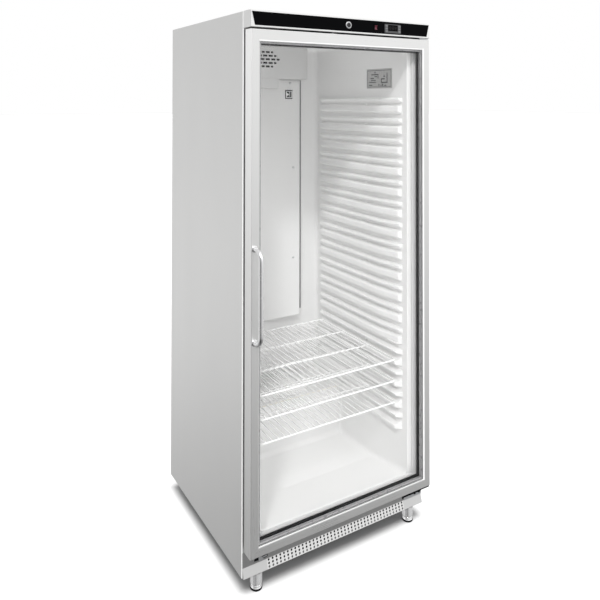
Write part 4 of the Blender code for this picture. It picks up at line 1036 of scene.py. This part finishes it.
# ====================================================== fan shroud and duct
def air_side():
    z0, z1 = 1692.5, 1834.0
    shroud = Form().plate(rounded(-205, 205, z0, z1, 9.0, 5), "y", 604.7, 530, 0.0, 4, 4.5)
    cuts = [Form().plate(rounded(-203, 203, z0 + 2, z1 - 3, 3.0, 3), "y", 620, 532.2)]
    tab = Form().plate([(-61, z0 + 3.5), (-53, 1652.0), (53, 1652.0), (61, z0 + 3.5)], "y", 562.6, 530.6, 0.0, 4, 4.0)
    rows = (
        (0, (-64, -42, -37, -15, -10, 12, 17, 39, 44, 60)),
        (1, (-48, -28, -23, -1, 4, 26, 31, 44)),
        (2, (-30, -14, -9, 11, 16, 28)),
    )
    for row, ends in rows:
        for sign in (1, -1) if row else (1,):
            z = 1778 + sign * row * 15.5
            for a, b in zip(ends[::2], ends[1::2]):
                cuts.append(Form().plate(rounded(a, b, z - 4.3, z + 4.3, 1.8, 3), "y", 520, 540))
    cuts.append(Form().plate(rounded(-150, 150, z0 - 8, z0 + 10, 2.0), "y", 567, 620))
    piece("fan_cover", shroud, "cabinet", SHROUD, ["fan_shroud"], cuts, 35)
    # matte black dish between the grille and the fan: painted shade inside the fan cavity
    tray = Form().plate(rounded(-90, 90, z0 + 4, z1 - 6, 8.0, 4), "y", 536.5, 533.4, 0.0, 2, 0.6)
    hole = Form().lathe([(3.0, 520.0), (3.0, 545.0)], 0, 1772, "y", 24)
    piece("fan_guard_cloth", tray, "cabinet", MATTE, (), [hole])
    piece("fan_cover_tab", tab, "cabinet", SHROUD, smooth=35)

    duct = Form().plate(rounded(-185, 185, 640, 1691.5, 6.0, 4), "y", 604.7, 563, 0.0, 4, 4.0)
    hollow = Form().plate(rounded(-183, 183, 630, 1700, 3.0, 3), "y", 620, 565)
    piece("air_duct", duct, "cabinet", DUCT, ["duct_cover"], [hollow], 35)
    # dark grey strips beside the duct's front edges: painted shadow of the gap between duct and wall
    strip = Form()
    for s_ in (-1, 1):
        strip.block(min(s_ * 184.7, s_ * 190.6), max(s_ * 184.7, s_ * 190.6), 563.6, 568.4, 668, 1690, 0.7, "y", 1.0)
    piece("duct_edge_trim", strip, "cabinet", DUCT_EDGE_SHADOW_GREY, smooth=40)
    foot = Form().plate(rounded(183.2, 209, 640, 666, 4.0, 3), "y", 604.7, 601.4, 0.0, 2, 0.8)
    piece("duct_foot", foot, "cabinet", DUCT, smooth=35)
    knob = Form().lathe([(7.0, 601.3), (7.6, 600.4), (8.0, 598.8), (8.0, 590.8), (7.4, 588.6), (5.8, 587.5), (3.0, 587.2)], 199, 653, "y", 28)
    piece("duct_thumbscrew", knob, "cabinet", ABS, ["duct_knob"], smooth=40)
    screws = Form()
    for x, z in ((132, 1677), (-132, 1677), (150, 1300), (-150, 1300), (150, 900), (-150, 900)):
        screws.lathe([(5.2, 563.2), (5.2, 562.2), (4.4, 561.0), (2.4, 560.3), (2.0, 560.9)], x, z, "y", 20)
    piece("duct_screws", screws, "cabinet", STEEL, smooth=40)
    # square holder with a forked white guard over a matte black plate: painted shade of the holder's recess
    clip = Form()
    clip.block(110, 141, 557.5, 562.7, 1611, 1614, 0.6, "y", 1.2)
    clip.block(110, 141, 557.5, 562.7, 1639, 1642, 0.6, "y", 1.2)
    clip.block(138, 141, 557.5, 562.7, 1611, 1642, 0.6, "y", 1.2)
    clip.block(110, 113, 557.5, 562.7, 1611, 1642, 0.6, "y", 1.2)
    clip.plate([(111.0, 1619.0), (124.5, 1626.5), (111.0, 1634.0)], "y", 562.6, 555.2, 0.0, 2, 0.8)
    piece("probe_guard", clip, "cabinet", ABS, ["probe_clip"], smooth=35)
    well = Form().plate(rounded(107, 144, 1606.5, 1646.5, 1.5), "y", 562.9, 561.0, 0.0, 2, 0.3)
    piece("probe_recess_shade", well, "cabinet", MATTE, smooth=35)
    probe = Form().lathe([(1.6, 1617.6), (2.5, 1618.6), (2.5, 1638.5), (1.8, 1640.0)], 125.5, 555.8, "z", 20)
    piece("probe_tube", probe, "cabinet", STEEL, ["temperature_probe"], smooth=40)

    motor = Form().lathe([(3.0, 560.0), (3.0, 571.0), (20.0, 572.0), (23.2, 573.2), (24.0, 575.5), (24.0, 602.0), (22.5, 604.6)], 0, 1772, "y", 36)
    for a in range(3):
        t = math.radians(90 + 120 * a)
        motor.tube([(22 * math.cos(t), 590, 1772 + 22 * math.sin(t)), (70 * math.cos(t), 596, 1772 + 70 * math.sin(t)), (78 * math.cos(t), 603.5, 1772 + 58 * math.sin(t))], 2.2, 8)
    piece("motor_can", motor, "cabinet", DARK, ["fan_motor"], smooth=40)
    fan = Form().lathe([(3.4, 556.2), (3.4, 569.0), (13.5, 569.0), (15.0, 567.5), (15.0, 550.5), (13.5, 548.6), (6.0, 548.0), (0.8, 547.9), (0.8, 556.2)], 0, 1772, "y", 36, wrap=True)
    for i in range(5):
        base = 2 * math.pi * i / 5
        loops = []
        for k in range(7):
            s = k / 6
            r = 12 + (52 - 12) * s
            half = 0.44 - 0.10 * s + 0.05 * math.sin(math.pi * s)
            lead, trail = base - half, base + half * 0.62
            rise = 5.6 - 1.2 * s
            top, under = [], []
            for q in range(6):
                u = q / 5
                t = lead + (trail - lead) * u
                y = 557.5 - rise + 2 * rise * u - 2.0 * math.sin(math.pi * u)
                top.append((r * math.cos(t), y, 1772 + r * math.sin(t)))
                under.append((r * math.cos(t), y + 1.5, 1772 + r * math.sin(t)))
            loops.append(top + under[::-1])
        fan.loft(loops)
    piece("fan_rotor", fan, "fan", DARK, ["fan_blades"], smooth=40)

    coil = Form()
    pts = []
    for k in range(10):
        z = 1184 + 49 * k
        row = [(-150, 587, z), (150, 587, z)]
        pts += row if k % 2 == 0 else row[::-1]
        if k < 9:
            x = 150 if k % 2 == 0 else -150
            s = 1 if x > 0 else -1
            pts += [(x + s * 12, 587, z + 8), (x + s * 14, 587, z + 24.5), (x + s * 12, 587, z + 41)]
    coil.tube(pts, 4.0, 10)
    for i in range(47):
        x = -138 + 6 * i
        coil.plate(rounded(578.2, 595.8, 1174, 1632, 1.0, 2), "x", x - 0.15, x + 0.15)
    piece("coil_pack", coil, "cabinet", ALU, ["evaporator_coil"], smooth=40)
    heat = Form().tube(
        [(-114, 586, 1078), (-114, 586, 900), (-114, 586, 775), (-110, 586, 766), (-101, 586, 763), (0, 586, 763), (101, 586, 763), (110, 586, 766), (114, 586, 775), (114, 586, 900), (114, 586, 1078)],
        3.0, 12)
    for s in (-1, 1):
        heat.lathe([(5.0, 1064), (5.0, 1076), (4.4, 1077)], s * 114, 586, "z", 6)
    piece("heater_rod", heat, "cabinet", STEEL, ["heater_element"], smooth=40)
    pan = Form().plate(rounded(-150, 150, 440, 590, 10, 4), "z", 355.3, 385, 1.2, 3, 0.4)
    inner = Form().plate(rounded(-148.6, 148.6, 441.4, 588.6, 8.6, 4), "z", 356.6, 400, 1.0, 2, 0.0)
    piece("drip_pan", pan, "cabinet", ABS, ["water_pan"], [inner], 35)


air_side()


# ========================================================== plate on the wall
def wall_plate():
    """Plain information plate with a small generic drawing on it."""

    def on_wall(u, v, w):
        return (half_width(u) - w, u, v)

    def slab(form, outline, w0, w1):
        form.loft([[on_wall(u, v, w0) for u, v in outline], [on_wall(u, v, w1) for u, v in inset(outline, 0.15)]])

    base = Form()
    slab(base, rounded(85, 240, 1650, 1730, 3.0, 4), 0.15, 1.2)
    piece("info_plate", base, "cabinet", LABEL, ["label_plate"], smooth=30)
    ink = Form()
    bars = [
        (90, 235, 1722.0, 1724.6), (90, 235, 1655.3, 1657.4), (90, 92.0, 1656, 1724), (233.0, 235, 1656, 1724),
        (111, 116.5, 1672, 1712), (111, 151, 1671, 1676.5), (145.5, 151, 1671, 1691), (127, 151, 1686, 1691),
        (166, 210, 1704, 1709), (166, 171, 1689, 1709), (194, 216, 1689, 1694), (174, 191, 1696, 1700.5),
        (160, 166, 1659, 1668), (149, 154, 1659, 1665), (137, 146, 1659, 1668), (118, 131, 1659, 1664), (204, 226, 1661, 1665.5),
        (182, 224, 1673, 1677.5), (182, 212, 1681, 1685),
    ]
    for a, b, c, d in bars:
        slab(ink, rounded(a, b, c, d, 0.4, 1), 1.1, 1.32)
    for cu, cv in ((131, 1700), (187, 1716)):
        slab(ink, [(cu + 6, cv - 4), (cu, cv + 6), (cu - 6, cv - 4)], 1.1, 1.32)
    piece("info_plate_drawing", ink, "cabinet", INK, smooth=30)


wall_plate()


# ====================================================== back and machinery
def rear():
    f = Form()
    f.plate(rounded(-383.7, 383.7, 334, 1893.7, 1.5, 3), "y", 653.9, 655, 0.3, 1)
    # pressed stiffening ribs, and screws round the rim
    for z in (700, 1114, 1528):
        f.plate(rounded(-320, 320, z - 9, z + 9, 8.8, 5), "y", 654.6, 656.6, 0.0, 3, 1.6)
    screws = Form()
    spots = [(s * 374, z) for s in (-1, 1) for z in (360, 660, 960, 1260, 1560, 1866)] + [(x, 1884) for x in (-250, 0, 250)]
    spots += [(s * 374, z) for s in (-1, 1) for z in (70, 195, 320)]
    for x, z in spots:
        screws.lathe([(4.4, 654.6), (4.4, 656.2), (3.4, 657.4), (1.4, 657.8)], x, z, "y", 16)
    piece("back_sheet", f, "cabinet", GALV, ["rear_panel"], smooth=35)
    piece("back_screws", screws, "cabinet", STEEL, smooth=40)
    g = Form()
    starts = (-330, -215, -100, 15, 130, 245)
    levels = (110, 140, 170, 200, 230, 260)
    us = [-383.7] + [v for x in starts for v in (x - 5, x + 105)] + [383.7]
    us = sorted(set(us))
    vs = [56, 99] + [z + 19 for z in levels[:-1]] + [279, 333.5]
    holes = {}
    for x in starts:
        i = us.index(x - 5)
        for j, z in enumerate(levels):
            holes[(i, j + 1)] = rounded(x, x + 100, z, z + 8, 3.9, 4)
    g.pierced(us, vs, holes, lambda u, v: (u, 655.0, v), lambda u, v: (u, 653.9, v))
    for x in starts:
        for z in levels:
            # louvre hood above each slot
            g.plate([(655.0, z + 12.5), (655.0, z + 8.2), (657.6, z + 4.5), (658.4, z + 4.7), (656.6, z + 9.6)], "x", x + 1, x + 99)
    piece("machine_grille", g, "cabinet", GALV, ["machine_cover"], smooth=30)
    t = Form()
    t.block(-383.7, 383.7, 1.3, 653.6, 55, 57, 0.4, "z", 1.5)
    t.block(-383.7, 383.7, 1.3, 2.8, 55.2, 59.6, 0.4, "x", 0.5)
    for x in (-250, -125, 0, 125, 250):
        t.block(x - 9, x + 9, 60, 600, 53.4, 55.6, 0.9, "z", 8.8)
    piece("base_sheet", t, "cabinet", GALV, ["base_tray"], smooth=35)

    c = Form()
    c.lathe([(66, 76), (76, 82), (83, 92), (86, 110), (86, 148), (87.6, 149), (87.6, 154), (86, 155), (86, 188), (83, 204), (74, 220), (58, 231), (36, 237), (14, 239)], -130, 552, "z", 48)
    c.block(-230, -30, 500, 604, 70, 78, 1.2, "z", 10)
    for x in (-215, -45):
        for y in (515, 590):
            c.lathe([(10, 57.4), (10, 60), (8.4, 62), (8.4, 68), (10, 70), (10, 74)], x, y, "z", 24)
    c.block(-52, -26, 530, 574, 120, 190, 3, "x", 4)
    piece("compressor_shell", c, "cabinet", DARK, ["compressor"], smooth=40)
    p = Form()
    p.tube([(-130, 552, 236), (-130, 552, 262), (-126, 552, 274), (-112, 552, 282), (-60, 548, 284), (30, 544, 280), (56, 541, 268), (60, 540, 256)], 3.0, 12)
    p.tube([(-200, 540, 150), (-226, 540, 152), (-240, 540, 164), (-242, 540, 190), (-242, 545, 300)], 4.0, 12)
    piece("refrigerant_pipes", p, "cabinet", COPPER, smooth=40)
    d = Form()
    d.block(40, 330, 520, 560, 57.3, 62, 0.6, "z", 2)
    d.block(40, 44, 520, 560, 60, 260, 0.6, "x", 2)
    d.block(326, 330, 520, 560, 60, 260, 0.6, "x", 2)
    for i in range(56):
        x = 48 + 5 * i
        d.plate(rounded(522, 558, 66, 256, 1.5, 2), "x", x - 0.2, x + 0.2)
    for k in range(8):
        z = 78 + 24 * k
        for y in (531, 549):
            d.tube([(36, y, z), (185, y, z), (334, y, z)], 3.6, 10)
    piece("condenser_pack", d, "cabinet", ALU, ["condenser"], smooth=40)


rear()


# ================================================================== stage
def build_floor():
    bm = bmesh.new()
    bmesh.ops.create_grid(bm, x_segments=1, y_segments=1, size=60.0)
    mesh = bpy.data.meshes.new("floor")
    bm.to_mesh(mesh)
    bm.free()
    obj = bpy.data.objects.new("floor", mesh)
    bpy.context.scene.collection.objects.link(obj)
    obj.location = (0, 0, -0.0004)
    s = Shader("floor_white", (0.36, 0.36, 0.36), 0.75, 0.0)
    s.set("Specular IOR Level", 0.0)
    cloud = s.noise(0.4, 2.0, 0.5)
    s.wire("Base Color", s.mix(s.ramp(cloud, 0, 1), (0.358, 0.358, 0.358), (0.362, 0.362, 0.362)))
    obj.data.materials.append(s.mat)
    obj.visible_glossy = False
    return obj


FLOOR = build_floor()


REAR_SCALE = (
    (-1.0, 0.36), (-0.60, 0.42), (-0.52, 0.58), (-0.43, 0.84), (-0.33, 1.00), (-0.24, 1.02),
    (-0.12, 0.97), (0.0, 0.92), (0.12, 0.87), (0.5, 0.95), (1.0, 1.0),
)
FORE_SCALE = (
    (-1.0, 0.24), (-0.60, 0.28), (-0.52, 0.38), (-0.43, 0.52), (-0.33, 0.72), (-0.22, 0.94),
    (-0.10, 1.06), (0.0, 1.12), (0.10, 1.18), (0.4, 1.35), (1.0, 1.3),
)


def build_world():
    world = bpy.data.worlds.new("studio")
    bpy.context.scene.world = world
    world.use_nodes = True
    t = world.node_tree
    for n in list(t.nodes):
        t.nodes.remove(n)
    out = t.nodes.new("ShaderNodeOutputWorld")
    path = t.nodes.new("ShaderNodeLightPath")
    geo = t.nodes.new("ShaderNodeTexCoord")
    split = t.nodes.new("ShaderNodeSeparateXYZ")
    t.links.new(geo.outputs["Generated"], split.inputs[0])
    # what metal mirrors, by height: one scale behind the cabinet, one before it
    up = t.nodes.new("ShaderNodeMapRange")
    up.inputs["From Min"].default_value = -1.0
    up.inputs["From Max"].default_value = 1.0
    t.links.new(split.outputs["Z"], up.inputs["Value"])

    def scale(stops):
        ramp = t.nodes.new("ShaderNodeValToRGB")
        t.links.new(up.outputs[0], ramp.inputs[0])
        e = ramp.color_ramp.elements
        for i, (z, v) in enumerate(stops):
            at = (z + 1) / 2
            if i < 2:
                e[i].position = at
                el = e[i]
            else:
                el = e.new(at)
            el.color = (v / 2, v / 2, v / 2, 1)
        return ramp.outputs[0]

    rear = scale(REAR_SCALE)
    fore = scale(FORE_SCALE)
    side = t.nodes.new("ShaderNodeMapRange")
    side.inputs["From Min"].default_value = -0.15
    side.inputs["From Max"].default_value = 0.15
    t.links.new(split.outputs["Y"], side.inputs["Value"])
    both = t.nodes.new("ShaderNodeMix")
    both.data_type = "RGBA"
    t.links.new(side.outputs[0], both.inputs[0])
    t.links.new(fore, both.inputs[6])
    t.links.new(rear, both.inputs[7])
    # brighter towards the right, and one narrow dark flag that only bright metal shows
    lift = t.nodes.new("ShaderNodeMapRange")
    for key, value in (("From Min", -1.0), ("From Max", 1.0), ("To Min", 0.25), ("To Max", 1.45)):
        lift.inputs[key].default_value = value * 1.0
    t.links.new(split.outputs["X"], lift.inputs["Value"])
    strength = t.nodes.new("ShaderNodeMix")
    strength.data_type = "FLOAT"
    t.links.new(side.outputs[0], strength.inputs[0])
    t.links.new(lift.outputs[0], strength.inputs[2])
    strength.inputs[3].default_value = 1.0
    # narrow dark flag low in front, seen only as a streak in bright round metal
    flat = t.nodes.new("ShaderNodeVectorMath")
    flat.operation = "MULTIPLY"
    flat.inputs[1].default_value = (1, 1, 0)
    t.links.new(geo.outputs["Generated"], flat.inputs[0])
    unit = t.nodes.new("ShaderNodeVectorMath")
    unit.operation = "NORMALIZE"
    t.links.new(flat.outputs[0], unit.inputs[0])
    facing = t.nodes.new("ShaderNodeVectorMath")
    facing.operation = "DOT_PRODUCT"
    facing.inputs[1].default_value = (-0.62, -0.785, 0)
    t.links.new(unit.outputs[0], facing.inputs[0])
    flag = t.nodes.new("ShaderNodeMapRange")
    for key, value in (("From Min", 0.940), ("From Max", 0.970), ("To Min", 1.0), ("To Max", 0.10)):
        flag.inputs[key].default_value = value
    t.links.new(facing.outputs["Value"], flag.inputs["Value"])
    low = t.nodes.new("ShaderNodeMapRange")
    for key, value in (("From Min", -0.50), ("From Max", -0.40), ("To Min", 0.0), ("To Max", 1.0)):
        low.inputs[key].default_value = value
    t.links.new(split.outputs["Z"], low.inputs["Value"])
    reach = t.nodes.new("ShaderNodeMath")
    reach.operation = "MAXIMUM"
    t.links.new(flag.outputs[0], reach.inputs[0])
    t.links.new(low.outputs[0], reach.inputs[1])
    dim = t.nodes.new("ShaderNodeMath")
    dim.operation = "MULTIPLY"
    t.links.new(strength.outputs[0], dim.inputs[0])
    t.links.new(reach.outputs[0], dim.inputs[1])
    # dimmer far round to the right, so bright metal keeps its outline from the side
    edge = t.nodes.new("ShaderNodeMapRange")
    for key, value in (("From Min", 0.62), ("From Max", 0.95), ("To Min", 1.0), ("To Max", 0.75)):
        edge.inputs[key].default_value = value
    t.links.new(split.outputs["X"], edge.inputs["Value"])
    shade = t.nodes.new("ShaderNodeMath")
    shade.operation = "MULTIPLY"
    t.links.new(dim.outputs[0], shade.inputs[0])
    t.links.new(edge.outputs[0], shade.inputs[1])
    double = t.nodes.new("ShaderNodeMath")
    double.operation = "MULTIPLY"
    double.inputs[1].default_value = 2.0
    t.links.new(shade.outputs[0], double.inputs[0])
    mirror = t.nodes.new("ShaderNodeBackground")
    t.links.new(double.outputs[0], mirror.inputs["Strength"])
    t.links.new(both.outputs[2], mirror.inputs["Color"])
    soft = t.nodes.new("ShaderNodeBackground")
    soft.inputs["Color"].default_value = (1, 1, 1, 1)
    soft.inputs["Strength"].default_value = 1.15
    seen = t.nodes.new("ShaderNodeBackground")
    seen.inputs["Color"].default_value = (1, 1, 1, 1)
    seen.inputs["Strength"].default_value = 1.0
    m1 = t.nodes.new("ShaderNodeMixShader")
    m2 = t.nodes.new("ShaderNodeMixShader")
    t.links.new(path.outputs["Is Glossy Ray"], m1.inputs[0])
    t.links.new(soft.outputs[0], m1.inputs[1])
    t.links.new(mirror.outputs[0], m1.inputs[2])
    t.links.new(path.outputs["Is Camera Ray"], m2.inputs[0])
    t.links.new(m1.outputs[0], m2.inputs[1])
    t.links.new(seen.outputs[0], m2.inputs[2])
    t.links.new(m2.outputs[0], out.inputs["Surface"])


build_world()


def area(name, place, target, size, power, spread=None, size_y=None):
    data = bpy.data.lights.new(name, "AREA")
    data.energy = power
    data.shape = "RECTANGLE"
    data.size = size
    data.size_y = size_y or size
    if spread:
        data.spread = math.radians(spread)
    obj = bpy.data.objects.new(name, data)
    bpy.context.scene.collection.objects.link(obj)
    obj.location = place
    obj.rotation_mode = "QUATERNION"
    obj.rotation_quaternion = (Vector(target) - Vector(place)).to_track_quat("-Z", "Y")
    obj.visible_camera = False
    return obj


def sun(name, direction, strength, angle):
    data = bpy.data.lights.new(name, "SUN")
    data.energy = strength
    data.angle = math.radians(angle)
    obj = bpy.data.objects.new(name, data)
    bpy.context.scene.collection.objects.link(obj)
    obj.rotation_mode = "QUATERNION"
    obj.rotation_quaternion = Vector(direction).to_track_quat("-Z", "Y")
    return obj


def only(light, objects, state):
    """Light linking: the light reaches only these objects, or all but these."""
    group = bpy.data.collections.new(light.name + "_receivers")
    for obj in objects:
        group.objects.link(obj)
    light.light_linking.receiver_collection = group
    for item in group.collection_objects:
        item.light_linking.link_state = state


KEY_LIGHT = sun("key_light", (0.43, 0.62, -0.73), 1.80, 7.0)
LINING = [o for o in bpy.context.scene.objects if o.name == "chamber_lining"]
only(KEY_LIGHT, [FLOOR] + LINING, "EXCLUDE")
LINING_LIGHT = sun("lining_light", (0.52, 0.62, -0.73), 1.42, 7.0)
only(LINING_LIGHT, LINING, "INCLUDE")
FILL_LIGHT = sun("fill_light", (0.05, 0.72, -0.69), 0.65, 45.0)
only(FILL_LIGHT, [FLOOR], "EXCLUDE")
BOUNCE = sun("rib_bounce", (0.06, 0.05, 1.0), 0.55, 60.0)
SETTLE = sun("floor_bounce", (0.0, 0.05, -1.0), 0.80, 60.0)
SETTLE.data.use_shadow = False
only(SETTLE, LINING, "INCLUDE")
BOUNCE.data.use_shadow = False
only(BOUNCE, LINING, "INCLUDE")
DOWN_LIGHT = sun("floor_light", (0.10, 0.22, -1.0), 8.0, 42.0)
only(DOWN_LIGHT, [FLOOR], "INCLUDE")
LOW_PARTS = ("leg_sleeve", "foot_adjuster", "foot_pad", "vent_kick_panel", "base_sheet")
blockers = bpy.data.collections.new("floor_light_blockers")
for obj in bpy.context.scene.objects:
    if obj.name.startswith(LOW_PARTS):
        blockers.objects.link(obj)
DOWN_LIGHT.light_linking.blocker_collection = blockers


# ================================================================= camera
CAM_AT = (-1.3004, -2.1042, 1.6056)
YAW, PITCH, ROLL = 0.5344, -0.0153, 0.0016
SHIFT_X, SHIFT_Y = 0.0230, -0.3506
LENS = 37.36


def build_camera():
    data = bpy.data.cameras.new("camera")
    data.sensor_width = 36.0
    data.lens = LENS
    data.clip_start, data.clip_end = 0.05, 200.0
    cam = bpy.data.objects.new("camera", data)
    bpy.context.scene.collection.objects.link(cam)
    look = Vector(
        (math.sin(YAW) * math.cos(PITCH), math.cos(YAW) * math.cos(PITCH), -math.sin(PITCH))
    )
    right0 = Vector((math.cos(YAW), -math.sin(YAW), 0.0))
    up0 = right0.cross(look)
    right = right0 * math.cos(ROLL) + up0 * math.sin(ROLL)
    up = up0 * math.cos(ROLL) - right0 * math.sin(ROLL)
    turn = Matrix((right, up, -look)).transposed().to_4x4()
    cam.matrix_world = Matrix.Translation(Vector(CAM_AT)) @ turn
    # the lens is shifted only at this station, so any other view stays centred
    for path, amount in (("shift_x", SHIFT_X), ("shift_y", SHIFT_Y)):
        drv = data.driver_add(path).driver
        drv.type = "SCRIPTED"
        var = drv.variables.new()
        var.name = "x"
        var.type = "TRANSFORMS"
        var.targets[0].id = cam
        var.targets[0].transform_type = "LOC_X"
        var.targets[0].transform_space = "WORLD_SPACE"
        drv.expression = f"{amount} if abs(x + {-CAM_AT[0]}) < 0.001 else 0.0"
    bpy.context.scene.camera = cam


build_camera()
scene = bpy.context.scene
scene.view_settings.view_transform = "Standard"
scene.view_settings.look = "None"
scene.view_settings.exposure = 0.0
